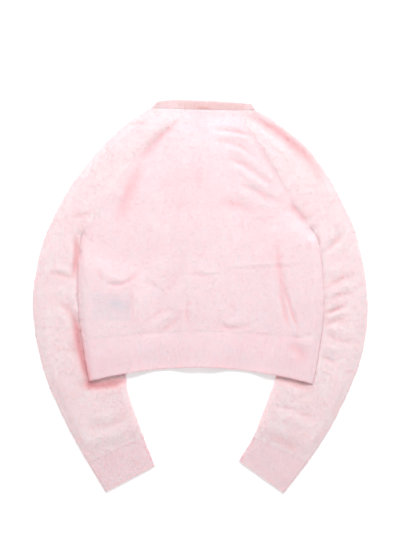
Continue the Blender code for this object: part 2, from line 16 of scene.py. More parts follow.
import bpy
import numpy as np
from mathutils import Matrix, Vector


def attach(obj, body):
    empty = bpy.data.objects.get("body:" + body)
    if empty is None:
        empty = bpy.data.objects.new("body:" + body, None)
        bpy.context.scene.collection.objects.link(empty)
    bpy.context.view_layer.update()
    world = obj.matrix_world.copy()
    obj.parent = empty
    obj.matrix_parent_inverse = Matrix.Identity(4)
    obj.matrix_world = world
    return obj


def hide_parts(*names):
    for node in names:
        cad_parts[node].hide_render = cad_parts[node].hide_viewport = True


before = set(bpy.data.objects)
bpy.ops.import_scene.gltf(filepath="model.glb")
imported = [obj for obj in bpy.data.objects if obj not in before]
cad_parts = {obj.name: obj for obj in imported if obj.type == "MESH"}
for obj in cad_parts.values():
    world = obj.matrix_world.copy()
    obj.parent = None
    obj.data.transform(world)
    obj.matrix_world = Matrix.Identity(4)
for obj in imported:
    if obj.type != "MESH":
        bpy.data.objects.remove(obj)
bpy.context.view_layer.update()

# %% [markdown]
# ## How the cloth is piled
#
# A knit this light is about 2 mm thick with its nap pressed down, and the yarn
# itself is a little over 1 mm of that. The wall modelled here is the bare yarn.
# The hairs that stand on it fill the rest, so the two together are as thick as
# the solid. All sizes are metres.

# %% Cloth sizes
WALL = 0.0020            # the solid's wall, with its nap
KNIT = 0.0013            # the yarn alone
AIR = 0.0006             # between one layer of cloth and the next
LAYER = WALL + AIR
LOFT = 0.0026            # air under the back, which is not ironed flat
LIFT = 2 * LAYER - 0.0002   # the body's height where it crosses a sleeve
SEAM = 0.0001            # half the gap where two pieces are sewn together

FRONT_GROW = 0.006       # how far past a sleeve's edge the front stays up,
BACK_GROW = 0.009        # and the back
FRONT_RAMP = 0.018       # the width over which the front comes down again
BACK_RAMP = 0.046        # the back bridges the step more gently
EDGE_FADE = 0.015        # the loft dies away this near a side seam or a fold,
NECK_FADE = 0.044        # the back's neck,
SHOULDER_FADE = 0.040    # a sleeve's neck,
HEM_FADE = 0.045         # and the free edge of the hem,
HEM_LOFT = 0.15          # where this share of it is left
SIDE_CLOSE = 0.010       # back and front meet over this width at a side seam
RAGLAN_CLOSE = 0.024     # back and sleeve are level at their seam
CORNER_LIFT = ((-0.192, -0.136, 0.0006), (0.194, -0.148, 0.0002))   # x, y and rise
CORNER_REACH = 0.030     # a hem corner stands off the sleeve under it

BAND_HALF = 0.014        # half the width of a button band
BUTTON_RADIUS = 0.0058
BUTTON_HEIGHT = 0.0018
BUTTON_FLOOR = 0.0001    # a button all but touches the table
BUTTON_TOP_Y = 0.232     # the first button below the neck,
BUTTON_PITCH = 0.068     # and from each to the next
BUTTON_COUNT = 6
BUTTON_AIR = 0.0003
OUTER_BAND_Z = BUTTON_FLOOR + BUTTON_HEIGHT + BUTTON_AIR
INNER_BAND_Z = OUTER_BAND_Z + LAYER
OUTER_BAND_RAMP = 0.018  # each front climbs to its band over this width,
INNER_BAND_RAMP = 0.026
BACK_BAND_RAMP = 0.042   # and the back over both
BACK_BAND_RISE = INNER_BAND_Z + 0.0003
BACK_BAND_EDGE = 0.004   # it stays up this far past them,
BACK_BAND_LOFT = 0.6     # with this share of its loft,
BACK_BAND_START = 0.11   # and climbs onto them this far below the neck

LABEL_WALL = 0.0004
LABEL_AIR = 0.0007       # between a label and the back that it is sewn to
NECK_LABEL = (-0.014, 0.295, 0.014, 0.332)      # left, bottom, right, top
CARE_LABEL = (-0.193, -0.043, -0.123, 0.005)
CARE_CORE = (-0.150, -0.014)    # where the back presses on the label most
print("layer pitch (mm):", round(1000 * LAYER, 2))

# %% [markdown]
# ## The plan of the garment
#
# A flat garment is mostly its outline, so the plan is a few short tables, the
# same ones that the solids were made from. A sleeve is a row of sections from
# neck to cuff, each with its inner edge and its outer fold. The inner edge of the
# first eight sections is also the raglan seam, so back and sleeve can never drift
# apart.

# %% The sleeves' tables
Section = namedtuple("Section", "inner_x inner_y outer_x outer_y")

SLEEVE_LEFT = (
    Section(-0.0250, 0.3365, -0.0925, 0.3390),
    Section(-0.0450, 0.3130, -0.1080, 0.3290),
    Section(-0.0720, 0.2880, -0.1370, 0.3080),
    Section(-0.1030, 0.2590, -0.1690, 0.2790),
    Section(-0.1300, 0.2340, -0.1980, 0.2450),
    Section(-0.1580, 0.1910, -0.2290, 0.2050),
    Section(-0.1850, 0.1480, -0.2560, 0.1580),
    Section(-0.2140, 0.1100, -0.2790, 0.1080),
    Section(-0.2192, 0.0800, -0.2880, 0.0770),
    Section(-0.2205, 0.0540, -0.2930, 0.0540),
    Section(-0.1980, 0.0340, -0.2960, 0.0360),
    Section(-0.1660, 0.0230, -0.2990, 0.0190),
    Section(-0.1370, 0.0140, -0.3010, -0.0020),
    Section(-0.1280, -0.0140, -0.3000, -0.0320),
    Section(-0.1280, -0.0610, -0.2950, -0.0720),
    Section(-0.1310, -0.1080, -0.2860, -0.1130),
    Section(-0.1330, -0.1510, -0.2710, -0.1600),
    Section(-0.1260, -0.1840, -0.2520, -0.2030),
    Section(-0.1150, -0.2140, -0.2300, -0.2480),
    Section(-0.1020, -0.2520, -0.2010, -0.2990),
    Section(-0.0810, -0.3040, -0.1700, -0.3510),
)
SLEEVE_RIGHT = (
    Section(0.0770, 0.3345, 0.1030, 0.3348),
    Section(0.0860, 0.3040, 0.1300, 0.3200),
    Section(0.1030, 0.2810, 0.1510, 0.3040),
    Section(0.1220, 0.2520, 0.1780, 0.2830),
    Section(0.1400, 0.2180, 0.2030, 0.2570),
    Section(0.1580, 0.1850, 0.2270, 0.2230),
    Section(0.1760, 0.1550, 0.2480, 0.1870),
    Section(0.2035, 0.1190, 0.2740, 0.1330),
    Section(0.2112, 0.1050, 0.2810, 0.1140),
    Section(0.2142, 0.0925, 0.2860, 0.0940),
    Section(0.1900, 0.0900, 0.2900, 0.0760),
    Section(0.1650, 0.0890, 0.2940, 0.0570),
    Section(0.1540, 0.0730, 0.2970, 0.0380),
    Section(0.1510, 0.0500, 0.3000, 0.0140),
    Section(0.1520, 0.0150, 0.3020, -0.0180),
    Section(0.1530, -0.0200, 0.3010, -0.0450),
    Section(0.1530, -0.0540, 0.2970, -0.0740),
    Section(0.1480, -0.0970, 0.2900, -0.1100),
    Section(0.1350, -0.1490, 0.2750, -0.1510),
    Section(0.1240, -0.1800, 0.2570, -0.1910),
    Section(0.1120, -0.2110, 0.2270, -0.2480),
    Section(0.0960, -0.2520, 0.1930, -0.2980),
    Section(0.0700, -0.2950, 0.1510, -0.3530),
)
UNDERARM = 7             # the section where body and sleeve part
DIVE = 9                 # from this one on, the sleeve is under the body
NECK_LEFT = 1.72         # where the front neck cuts the raglan seams,
NECK_RIGHT = 1.10        # counted in sections
print("sections, left and right:", len(SLEEVE_LEFT), len(SLEEVE_RIGHT))

# %% [markdown]
# The body is a row of levels from underarm to hem, each with its two ends and the
# height of its arch, since the middle of the back sags towards the neck.

# %% The body's rows
Row = namedtuple("Row", "left_x left_y right_x right_y arch")

BODY_ROWS = (
    Row(-0.2160, 0.0960, 0.2105, 0.1040, 0.000),
    Row(-0.2178, 0.0820, 0.2140, 0.0880, 0.001),
    Row(-0.2190, 0.0660, 0.2165, 0.0720, 0.002),
    Row(-0.2198, 0.0480, 0.2185, 0.0560, 0.003),
    Row(-0.2200, 0.0300, 0.2205, 0.0360, 0.005),
    Row(-0.2198, 0.0100, 0.2220, 0.0140, 0.007),
    Row(-0.2185, -0.0150, 0.2228, -0.0120, 0.010),
    Row(-0.2160, -0.0440, 0.2212, -0.0430, 0.013),
    Row(-0.2110, -0.0790, 0.2160, -0.0790, 0.016),
)
RIB_ROWS = (
    Row(-0.2110, -0.0790, 0.2160, -0.0790, 0.016),
    Row(-0.2060, -0.1150, 0.2100, -0.1180, 0.021),
    Row(-0.1990, -0.1520, 0.2020, -0.1570, 0.027),
)
print("body width (mm):", round(1000 * (BODY_ROWS[5].right_x - BODY_ROWS[5].left_x)))

# %% [markdown]
# At the neck there are two tables more. The neckband on the back has pairs of
# points, on its seam and on its free edge. Each front neckline has the few points
# between the sleeve and the button band.

# %% The neck's tables
Band = namedtuple("Band", "seam_x seam_y free_x free_y")

BACK_NECK = (
    Band(0.1005, 0.3363, 0.0945, 0.3468),
    Band(0.0770, 0.3350, 0.0780, 0.3485),
    Band(0.0450, 0.3355, 0.0450, 0.3510),
    Band(0.0100, 0.3363, 0.0100, 0.3530),
    Band(-0.0250, 0.3371, -0.0250, 0.3540),
    Band(-0.0560, 0.3380, -0.0530, 0.3540),
    Band(-0.0890, 0.3394, -0.0780, 0.3515),
)
FRONT_NECK_LEFT = ((-0.0500, 0.2770), (-0.0330, 0.2630), (-0.0146, 0.2560))
FRONT_NECK_RIGHT = ((0.0680, 0.2770), (0.0400, 0.2610), (0.0146, 0.2560))
NECK_WIDTH = 0.0135
NECK_STEPS = 8           # across each sleeve's neck edge

SIDES = {-1: (SLEEVE_LEFT, FRONT_NECK_LEFT, NECK_LEFT),
         1: (SLEEVE_RIGHT, FRONT_NECK_RIGHT, NECK_RIGHT)}
print("points on the back neck:", len(BACK_NECK))

# %% [markdown]
# ## Curves through the tables
#
# Cloth has no corners between two rows of a table. A Catmull-Rom curve runs
# through every row and bends softly between them, and NumPy works it out for a
# whole grid of points in one call. Distances to a line and the test of being
# inside an outline are made for whole grids too.


# %% Helpers for plans and distances
def smooth(value):
    """Rises softly from 0 to 1 as value does."""
    value = np.clip(value, 0.0, 1.0)
    return value * value * (3.0 - 2.0 * value)


def through(table, places):
    """Reads a table at places between its rows, along a soft curve."""
    table = np.asarray(table, dtype=float)
    last = len(table) - 1
    places = np.clip(np.asarray(places, dtype=float), 0.0, last)
    first = np.minimum(places.astype(int), last - 1)
    t = (places - first)[..., None]
    here, there = table[first], table[first + 1]
    before = np.where((first > 0)[..., None], table[np.maximum(first - 1, 0)], 2 * here - there)
    after = np.where((first < last - 1)[..., None], table[np.minimum(first + 2, last)],
                     2 * there - here)
    cubic = 3.0 * (here - there) + after - before
    square = 2.0 * before - 5.0 * here + 4.0 * there - after
    return here + 0.5 * t * (there - before + t * (square + t * cubic))


def even_places(table, start, end, step):
    """Places along a table, one step apart on its curve."""
    fine = np.linspace(start, end, 600)
    points = through(table, fine)[:, :2]
    run = np.concatenate([[0.0], np.cumsum(np.linalg.norm(np.diff(points, axis=0), axis=1))])
    count = max(2, int(round(run[-1] / step)) + 1)
    return np.interp(np.linspace(0.0, run[-1], count), run, fine)


def line_distance(x, y, line):
    """How far each point is from a line of straight stretches, in plan."""
    best = np.full(np.shape(x), np.inf)
    for (ax, ay), (bx, by) in zip(line[:-1], line[1:]):
        dx, dy = bx - ax, by - ay
        share = np.clip(((x - ax) * dx + (y - ay) * dy) / (dx * dx + dy * dy), 0.0, 1.0)
        best = np.minimum(best, np.hypot(x - ax - share * dx, y - ay - share * dy))
    return best


def inside(x, y, outline):
    """Whether each point is within an outline that closes on itself."""
    found = np.zeros(np.shape(x), dtype=bool)
    for (ax, ay), (bx, by) in zip(outline, np.roll(outline, -1, axis=0)):
        if ay == by:
            continue
        crosses = ((ay > y) != (by > y)) & (x < ax + (y - ay) * (bx - ax) / (by - ay))
        found ^= crosses
    return found


print("a soft step, a quarter of the way up:", smooth(0.25))


# %% [markdown]
# From these come the lines that the rest of the lesson measures from: both side
# seams, both raglan seams, the hem, the seam of the back neck, and the outline of
# the part of each sleeve that the body hides.


# %% Edges and outlines
def edge_points(rows, side):
    """The left or the right end of each row."""
    return [(r.left_x, r.left_y) if side < 0 else (r.right_x, r.right_y) for r in rows]


def side_table(sections, side):
    """The body's side seam, from the underarm down."""
    start = sections[UNDERARM]
    return [(start.inner_x, start.inner_y)] + edge_points(BODY_ROWS, side)


def hidden_outline(sections):
    """Plan of the stretch of sleeve that lies under the body."""
    curve = through(sections, np.linspace(DIVE, len(sections) - 1, 50))
    return np.concatenate([curve[:, :2], curve[::-1, 2:]])


def arched(row, share):
    """Points across a row, whose middle is bent towards the neck by its arch."""
    x = row.left_x + (row.right_x - row.left_x) * share
    y = row.left_y + (row.right_y - row.left_y) * share
    return np.stack([x, y + row.arch * 4.0 * share * (1.0 - share)], axis=-1)


HIDDEN = (hidden_outline(SLEEVE_LEFT), hidden_outline(SLEEVE_RIGHT))
SIDE_LINES = [np.concatenate([
    through(side_table(sections, side), np.linspace(0, len(BODY_ROWS), 37)),
    through(edge_points(RIB_ROWS, side), np.linspace(0, len(RIB_ROWS) - 1, 9))[1:]])
    for side, (sections, _, _) in SIDES.items()]
RAGLANS = [through(sections, np.linspace(0.0, UNDERARM, 29))[:, :2]
           for sections, _, _ in SIDES.values()]
HEM_LINE = arched(RIB_ROWS[-1], np.linspace(0.0, 1.0, 25))
BODY_PLAN = np.concatenate([SIDE_LINES[0], HEM_LINE[1:-1], SIDE_LINES[1][::-1]])
NECK_LINE = np.array([(b.seam_x, b.seam_y) for b in BACK_NECK])
print("body plan points:", len(BODY_PLAN))

# %% [markdown]
# ## The creases
#
# Soft knit keeps few sharp creases. It has long, shallow troughs with a ridge
# beside them, where it was folded, pulled at the raglan seams, or lies over the
# edge of something underneath. Each row below is one of them, in millimetres:
# half its width, its height (a trough is below zero) and the few points that it
# runs through. Their lengths and depths are as uneven as on the real garment.
# A trough is also painted a deeper colour as its shade. Where it goes deeper than
# the loft, the cloth stays flat and the rest is painted shade only, so the
# deepest rows are mostly painted shadow cast by an edge above them.

# %% The table of creases
Crease = namedtuple("Crease", "width height path")

CREASES_IN_MM = (
    # the pull along the left raglan seam, with the full shoulder above it
    Crease(8.5, -1.5, ((-20, 322), (-40, 314), (-58, 301), (-74, 285), (-88, 267), (-104, 253),
                       (-128, 239))),
    Crease(4.5, -0.4, ((-40, 312), (-59, 298), (-76, 281), (-88, 265))),
    Crease(9.7, 1.1, ((-43, 325), (-76, 309), (-95, 291), (-112, 269))),
    Crease(13.0, 0.8, ((-101, 300), (-128, 273), (-151, 240))),
    Crease(12.0, -1.6, ((-103, 251), (-113, 222), (-126, 192), (-139, 159), (-155, 123))),
    Crease(12.0, 0.9, ((-124, 249), (-139, 219), (-151, 188), (-167, 156))),
    Crease(16.0, 0.6, ((-76, 246), (-90, 204), (-103, 165))),
    Crease(4.0, -0.8, ((-144, 233), (-133, 240), (-121, 244))),
    Crease(4.5, -0.7, ((-131, 306), (-110, 311), (-86, 307))),
    Crease(5.4, 0.6, ((-130, 298), (-110, 301), (-92, 298))),
    # left side of the body, over the hidden sleeve and the care label
    Crease(3.8, -1.1, ((-185, 55), (-180, 39), (-167, 24))),
    Crease(3.6, -1.3, ((-175, 30), (-158, 21), (-139, 23), (-121, 33), (-108, 49))),
    Crease(5.0, 0.6, ((-171, 37), (-149, 31), (-128, 39))),
    Crease(4.0, -0.8, ((-214, 60), (-207, 35), (-200, 4))),
    Crease(4.5, 0.6, ((-209, 49), (-202, 26), (-194, 1))),
    Crease(4.2, -0.7, ((-106, 30), (-92, 22), (-74, 12))),
    Crease(5.0, 0.6, ((-103, 41), (-86, 32), (-70, 24))),
    Crease(4.2, -0.8, ((-92, -44), (-76, -30), (-58, -19))),
    Crease(4.2, -0.9, ((-77, -66), (-58, -55), (-34, -35))),
    Crease(4.2, 0.7, ((-85, -55), (-67, -42), (-45, -26))),
    Crease(13.0, -0.6, ((-18, 73), (-43, 39), (-70, -6), (-94, -46))),
    Crease(13.0, 0.5, ((-40, 80), (-68, 41), (-90, 1))),
    Crease(4.5, 0.6, ((-115, 24), (-113, -30), (-113, -75))),
    Crease(7.0, -0.7, ((-130, -73), (-90, -65), (-50, -61))),
    Crease(6.0, -0.5, ((5, -58), (40, -58), (68, -64))),
    Crease(4.5, -0.5, ((-123, 21), (-122, -30), (-122, -69))),
    # the middle of the back, which lies over the button bands
    Crease(8.6, -0.5, ((-4, 276), (-5, 210), (-4, 143))),
    Crease(2.8, -1.1, ((-23, 8), (-24, -24), (-20, -62))),
    Crease(2.8, 1.0, ((-15, 4), (-13, -21), (-9, -48))),
    Crease(4.0, -0.8, ((-23, 44), (-2, 38), (32, 34))),
    Crease(4.5, 0.8, ((-14, 55), (4, 47), (36, 43))),
    Crease(4.2, -0.8, ((18, -33), (34, -49), (56, -57), (81, -54), (106, -41))),
    Crease(7.0, 0.7, ((36, -38), (58, -45), (85, -40))),
    # where it was folded for storage
    Crease(2.6, -0.4, ((22, 47), (81, 50), (144, 53), (209, 55))),
    Crease(4.0, 0.4, ((31, 56), (90, 58), (149, 62), (200, 64))),
    Crease(3.0, -0.4, ((77, 139), (108, 139), (140, 139))),
    # the fan that runs from the right raglan seam into the back
    Crease(4.5, 0.5, ((14, 310), (47, 310), (83, 304))),
    Crease(4.4, -1.1, ((14, 301), (47, 299), (77, 293), (101, 287))),
    Crease(4.6, 0.6, ((14, 291), (47, 288), (79, 283), (99, 274))),
    Crease(4.6, -0.9, ((9, 280), (45, 277), (77, 267), (104, 247))),
    Crease(6.0, 0.6, ((36, 267), (70, 258), (95, 242), (117, 219))),
    Crease(5.4, -1.1, ((34, 253), (67, 242), (94, 226), (122, 206), (153, 188))),
    Crease(6.0, 0.8, ((38, 235), (67, 227), (101, 206), (133, 188))),
    Crease(5.2, -1.0, ((56, 208), (90, 194), (124, 177), (155, 168))),
    Crease(6.5, 0.7, ((34, 195), (74, 184), (112, 167), (142, 152))),
    Crease(7.0, -0.9, ((27, 172), (68, 163), (108, 147))),
    Crease(7.5, -1.9, ((157, 170), (171, 156), (184, 141), (196, 125))),
    Crease(13.0, 1.4, ((135, 147), (158, 131), (184, 107))),
    Crease(6.5, -0.9, ((90, 298), (108, 264), (130, 228), (155, 190), (176, 159))),
    Crease(7.0, 0.7, ((108, 292), (128, 257), (155, 217))),
    # right side of the body, down the edge of the hidden sleeve
    Crease(6.5, -1.6, ((140, 120), (140, 73), (145, 33), (153, -1), (162, -33), (175, -69))),
    Crease(2.9, 1.4, ((148, 12), (157, -17), (164, -42), (175, -76))),
    Crease(4.0, -1.5, ((140, 19), (146, -6), (153, -35), (162, -64))),
    Crease(3.2, -1.3, ((153, 15), (160, -13), (168, -42), (176, -64))),
    Crease(9.0, 0.7, ((166, 60), (176, 10), (185, -41))),
    Crease(8.0, 0.5, ((128, 21), (133, -30), (139, -66))),
    Crease(10.5, -1.3, ((153, -82), (178, -98), (205, -121))),
    Crease(9.0, 0.9, ((171, -75), (193, -82), (209, -87))),
    Crease(5.0, -0.7, ((158, -62), (176, -75), (207, -64))),
    # the right shoulder, where the seam rolls in from the fold
    # Its trough is real; the deeper colour along it is painted shade.
    Crease(9.5, -2.7, ((43, 341), (85, 329), (115, 312), (151, 288), (196, 246), (232, 188))),
    Crease(6.5, 1.1, ((85, 310), (115, 289), (146, 262), (178, 231))),
    # left sleeve above the hem, where it runs in under the body's edge
    Crease(4.4, -0.9, ((-234, 139), (-212, 146), (-193, 147))),
    Crease(5.0, -1.0, ((-272, 41), (-248, 38), (-223, 28))),
    Crease(6.0, 0.8, ((-274, 52), (-252, 50), (-229, 44))),
    Crease(6.0, -1.5, ((-256, -16), (-239, -20), (-227, -44), (-214, -73))),
    Crease(6.0, 1.0, ((-266, -24), (-248, -34), (-236, -60))),
    Crease(6.0, -1.1, ((-238, -80), (-229, -95), (-220, -113))),
    Crease(7.0, 0.7, ((-263, 10), (-245, 8), (-230, 0))),
    # These two deep troughs are partly real and mostly painted shadow, cast by the body's edge
    # onto the sleeve.
    Crease(5.5, -3.0, ((-223, 123), (-223, 96), (-223, 75), (-226, 48), (-229, 19))),
    Crease(7.0, -4.4, ((-227, -17), (-223, -49), (-218, -82), (-211, -114), (-203, -143),
                       (-193, -179))),
    # left sleeve below the hem
    # This one is painted shadow, cast by the hem onto the sleeve; the cloth under it is flat.
    Crease(8.0, -4.4, ((-227, -156), (-191, -159), (-158, -155), (-115, -141))),
    Crease(8.0, -0.8, ((-216, -229), (-184, -234), (-157, -228), (-121, -207))),
    Crease(8.6, 0.9, ((-212, -214), (-180, -217), (-149, -210))),
    Crease(5.0, -0.9, ((-194, -283), (-162, -288), (-137, -283), (-104, -272))),
    Crease(5.4, 0.6, ((-191, -274), (-160, -278), (-131, -273))),
    Crease(5.0, -0.7, ((-167, -304), (-122, -300), (-92, -294))),
    Crease(10.0, 0.6, ((-205, -252), (-169, -258), (-124, -244))),
    # right sleeve above the hem, short folds that run in to the body
    Crease(4.4, -1.3, ((218, 76), (232, 87), (247, 102), (261, 121))),
    Crease(5.5, 0.9, ((230, 69), (248, 85), (265, 103))),
    Crease(4.0, -1.3, ((221, 10), (236, 22), (254, 31), (284, 39))),
    Crease(6.0, 0.8, ((227, 37), (247, 49), (274, 57))),
    Crease(3.8, -1.0, ((225, -13), (239, -3), (257, 4), (281, 8))),
    Crease(4.5, 0.7, ((227, 0), (247, 13), (274, 22))),
    Crease(3.4, -2.2, ((218, -25), (232, -28), (247, -22), (263, -15))),
    Crease(4.5, 0.7, ((227, -37), (247, -31), (270, -24))),
    Crease(3.8, -1.1, ((220, -44), (234, -48), (248, -42), (266, -35))),
    Crease(4.2, -1.1, ((218, -60), (234, -71), (254, -79), (284, -85))),
    Crease(5.0, 0.8, ((223, -53), (241, -58), (270, -58))),
    Crease(6.5, 1.1, ((216, -87), (236, -94), (259, -100))),
    Crease(4.6, -1.2, ((212, -103), (229, -114), (250, -121))),
    # right sleeve below the hem
    # This one is a shallow trough and painted shadow, cast by the hem onto the sleeve.
    Crease(7.0, -2.4, ((112, -138), (151, -150), (178, -158), (220, -168))),
    Crease(4.5, -1.2, ((119, -192), (151, -199), (187, -211), (221, -229))),
    Crease(8.0, 0.9, ((139, -211), (167, -221), (203, -237))),
    Crease(5.0, -0.7, ((157, -192), (180, -181), (205, -172))),
    Crease(7.0, -1.0, ((119, -237), (144, -258), (185, -279))),
    Crease(7.0, 0.7, ((128, -262), (151, -280), (180, -292))),
)


def in_metres(creases):
    return tuple(Crease(width / 1000, height / 1000, tuple((x / 1000, y / 1000) for x, y in path))
                 for width, height, path in creases)


CREASES = in_metres(CREASES_IN_MM)
print("creases:", len(CREASES))

# %% [markdown]
# A crease is a soft bump along its curve, highest in the middle of its length, so
# its two ends die out in the cloth. Between the creases the cloth still isn't
# flat, so two layers of slow noise are added.

# %% Creases and slow waves of the side that shows
CREASE_TAPER = 0.35      # share of a crease's length over which each end dies out
Wave = namedtuple("Wave", "height size seed")
WAVES = (Wave(0.00036, 0.042, 3), Wave(0.00012, 0.017, 5))


def crease_height(x, y, crease):
    """One crease's rise or fall at each point, worked out only where it reaches."""
    spans = len(crease.path) - 1
    path = through(crease.path, np.linspace(0.0, spans, 4 * spans + 1))
    low, high = path.min(axis=0) - 3 * crease.width, path.max(axis=0) + 3 * crease.width
    near = (x > low[0]) & (x < high[0]) & (y > low[1]) & (y < high[1])
    px, py = x[near], y[near]
    steps = np.linalg.norm(np.diff(path, axis=0), axis=1)
    starts = np.concatenate([[0.0], np.cumsum(steps)])
    best = np.full(px.shape, np.inf)
    place = np.zeros(px.shape)
    for (ax, ay), (bx, by), start, step in zip(path[:-1], path[1:], starts, steps):
        along = np.clip(((px - ax) * (bx - ax) + (py - ay) * (by - ay)) / step ** 2, 0.0, 1.0)
        away = np.hypot(px - ax - along * (bx - ax), py - ay - along * (by - ay))
        closer = away < best
        best = np.where(closer, away, best)
        place = np.where(closer, start + along * step, place)
    share = place / starts[-1]
    ends = smooth(share / CREASE_TAPER) * smooth((1.0 - share) / CREASE_TAPER)
    height = np.zeros(x.shape)
    height[near] = crease.height * ends * np.exp(-(best / crease.width) ** 2)
    return height


def slow_noise(x, y, size, seed):
    """Soft hills and dips about one size across, from -1 to 1."""
    cells = 64
    grid = np.random.default_rng(seed).uniform(-1.0, 1.0, (cells, cells))
    u, v = x / size + cells / 2, y / size + cells / 2
    column, row = np.floor(u).astype(int), np.floor(v).astype(int)
    s, t = smooth(u - column), smooth(v - row)
    corner = [grid[(row + j) % cells, (column + i) % cells] for j in (0, 1) for i in (0, 1)]
    low = corner[0] * (1 - s) + corner[1] * s
    high = corner[2] * (1 - s) + corner[3] * s
    return low * (1 - t) + high * t


def relief(x, y):
    """All that the cloth on top rises or falls from its plain loft."""
    total = sum(crease_height(x, y, crease) for crease in CREASES)
    for wave in WAVES:
        total = total + wave.height * slow_noise(x, y, wave.size, wave.seed)
    return total


print("relief at the middle (mm):", np.round(1000 * relief(np.zeros(1), np.zeros(1)), 2))

# %% [markdown]
# ## How high each layer lies
#
# The body rises over the hidden sleeves on a plateau with soft shoulders, which
# is why their outline shows through the back. It also rides over the two button
# bands down the middle. Towards its edges the back comes down to the front and
# closes on it, as a side seam does.


# %% Heights of the layers
def lift(x, y, grow, ramp=FRONT_RAMP):
    """How far the sleeves underneath raise the body, and its hem corners stand up."""
    height = np.zeros(np.shape(x))
    for outline in HIDDEN:
        edge = line_distance(x, y, np.concatenate([outline, outline[:1]]))
        edge = np.where(inside(x, y, outline), 0.0, edge)
        height = np.maximum(height, LIFT * smooth(1.0 - (edge - grow) / ramp))
    for corner_x, corner_y, rise in CORNER_LIFT:
        away = np.hypot(x - corner_x, y - corner_y)
        height = height + rise * np.exp(-away ** 2 / CORNER_REACH ** 2)
    return height


def front_height(x, y):
    """Underside of the front, which climbs to its band at the middle."""
    edge = np.abs(x) - BAND_HALF
    right = OUTER_BAND_Z * smooth(1.0 - edge / OUTER_BAND_RAMP)
    left = INNER_BAND_Z * smooth(1.0 - edge / INNER_BAND_RAMP)
    return lift(x, y, FRONT_GROW) + np.where(x > 0.0, right, left)


def side_distance(x, y):
    """How far each point is from the nearer side seam."""
    return np.minimum(line_distance(x, y, SIDE_LINES[0]), line_distance(x, y, SIDE_LINES[1]))


def raglan_distance(x, y):
    return np.minimum(line_distance(x, y, RAGLANS[0]), line_distance(x, y, RAGLANS[1]))


def back_height(x, y):
    """Underside of the back."""
    side = side_distance(x, y)
    climb = lift(x, y, BACK_GROW, BACK_RAMP) * smooth(raglan_distance(x, y) / RAGLAN_CLOSE)
    fade = smooth(side / EDGE_FADE) * smooth(line_distance(x, y, NECK_LINE) / NECK_FADE)
    from_hem = smooth(line_distance(x, y, HEM_LINE) / HEM_FADE)
    fade = fade * (HEM_LOFT + (1.0 - HEM_LOFT) * from_hem)
    over_front = smooth((NECK_LINE[3][1] - y) / BACK_BAND_START)
    from_band = np.abs(x) - BAND_HALF - BACK_BAND_EDGE
    swell = over_front * smooth(1.0 - from_band / BACK_BAND_RAMP)
    air = fade * np.maximum(0.0, LOFT + relief(x, y))
    over_bands = BACK_BAND_RISE + BACK_BAND_LOFT * air
    height = climb + LAYER + air * (1.0 - swell) + over_bands * swell
    seam = lift(x, y, FRONT_GROW) + KNIT + SEAM
    return seam + (height - seam) * smooth(side / SIDE_CLOSE)


middle = back_height(np.zeros(1), np.zeros(1))
print("back's underside at the middle (mm):", np.round(1000 * middle, 2))

# %% [markdown]
# ## One wall of cloth
#
# Every piece is a closed wall: a grid of points for its inside, one for its
# outside, and a rim that joins them. A grid is easier to shape than loose faces,
# because a crease or a rib is then one formula over the whole piece. The outside
# is the inside moved out by the wall, which thins in a quarter round where an
# edge is folded, and a little along a seam. Rows and columns crowd together at
# the edges so that this round is really there in the mesh.

# %% Grids and their edges
ROUND = np.array([0.0, 0.12, 0.42, 1.0])    # where a rounded edge has its columns
SEAM_DIP = 0.12          # share of the wall that is drawn in along a seam
EDGE_DIP = 0.8           # the same along an edge that is free or folded


def edged(width, step):
    """Distances across each width, closer together at both ends."""
    width = np.atleast_1d(np.asarray(width, dtype=float))
    count = max(2, int(round(width.max() / step)))
    middle = np.linspace(0.0, 1.0, count + 1)[None, 1:-1]
    near = np.broadcast_to(ROUND * KNIT, (len(width), len(ROUND)))
    span = (width - 2 * KNIT)[:, None]
    return np.concatenate([near, KNIT + span * middle, width[:, None] - near[:, ::-1]], axis=1)


def edge_distances(grid):
    """How far each point lies from the grid's four edges, along the grid."""
    across = np.linalg.norm(np.diff(grid, axis=1), axis=2)
    down = np.linalg.norm(np.diff(grid, axis=0), axis=2)
    near = np.pad(np.cumsum(across, axis=1), ((0, 0), (1, 0)))
    top = np.pad(np.cumsum(down, axis=0), ((1, 0), (0, 0)))
    return near, near[:, -1:] - near, top, top[-1:] - top


def shrink(dip, edge, wall=KNIT):
    """Share of the wall left at this distance from an edge drawn in by dip."""
    reach = np.clip(1.0 - edge / wall, 0.0, 1.0)
    return 1.0 - dip * (1.0 - np.sqrt(1.0 - reach * reach))


def stacked(plan, height):
    """A plan and its heights as one grid of points."""
    return np.concatenate([plan, np.broadcast_to(height, plan.shape[:2])[..., None]], axis=-1)


print("columns at a rounded edge:", len(ROUND))

# %% [markdown]
# A finished wall becomes an object that rides on the fixed frame and takes the
# place of the solid of the same name. Its points also carry a number that says
# how deep in a fold they lie, which the yarn's material turns to painted shade.

# %% Building a wall
SHEETS = {}              # each piece's outer and inner grid, for the nap later
CREASE_SHADE_DEPTH = 0.0048      # a trough this deep gets the full painted crease shade


def add_object(name, data):
    made = bpy.data.objects.new(name, data)
    bpy.context.scene.collection.objects.link(made)
    return made


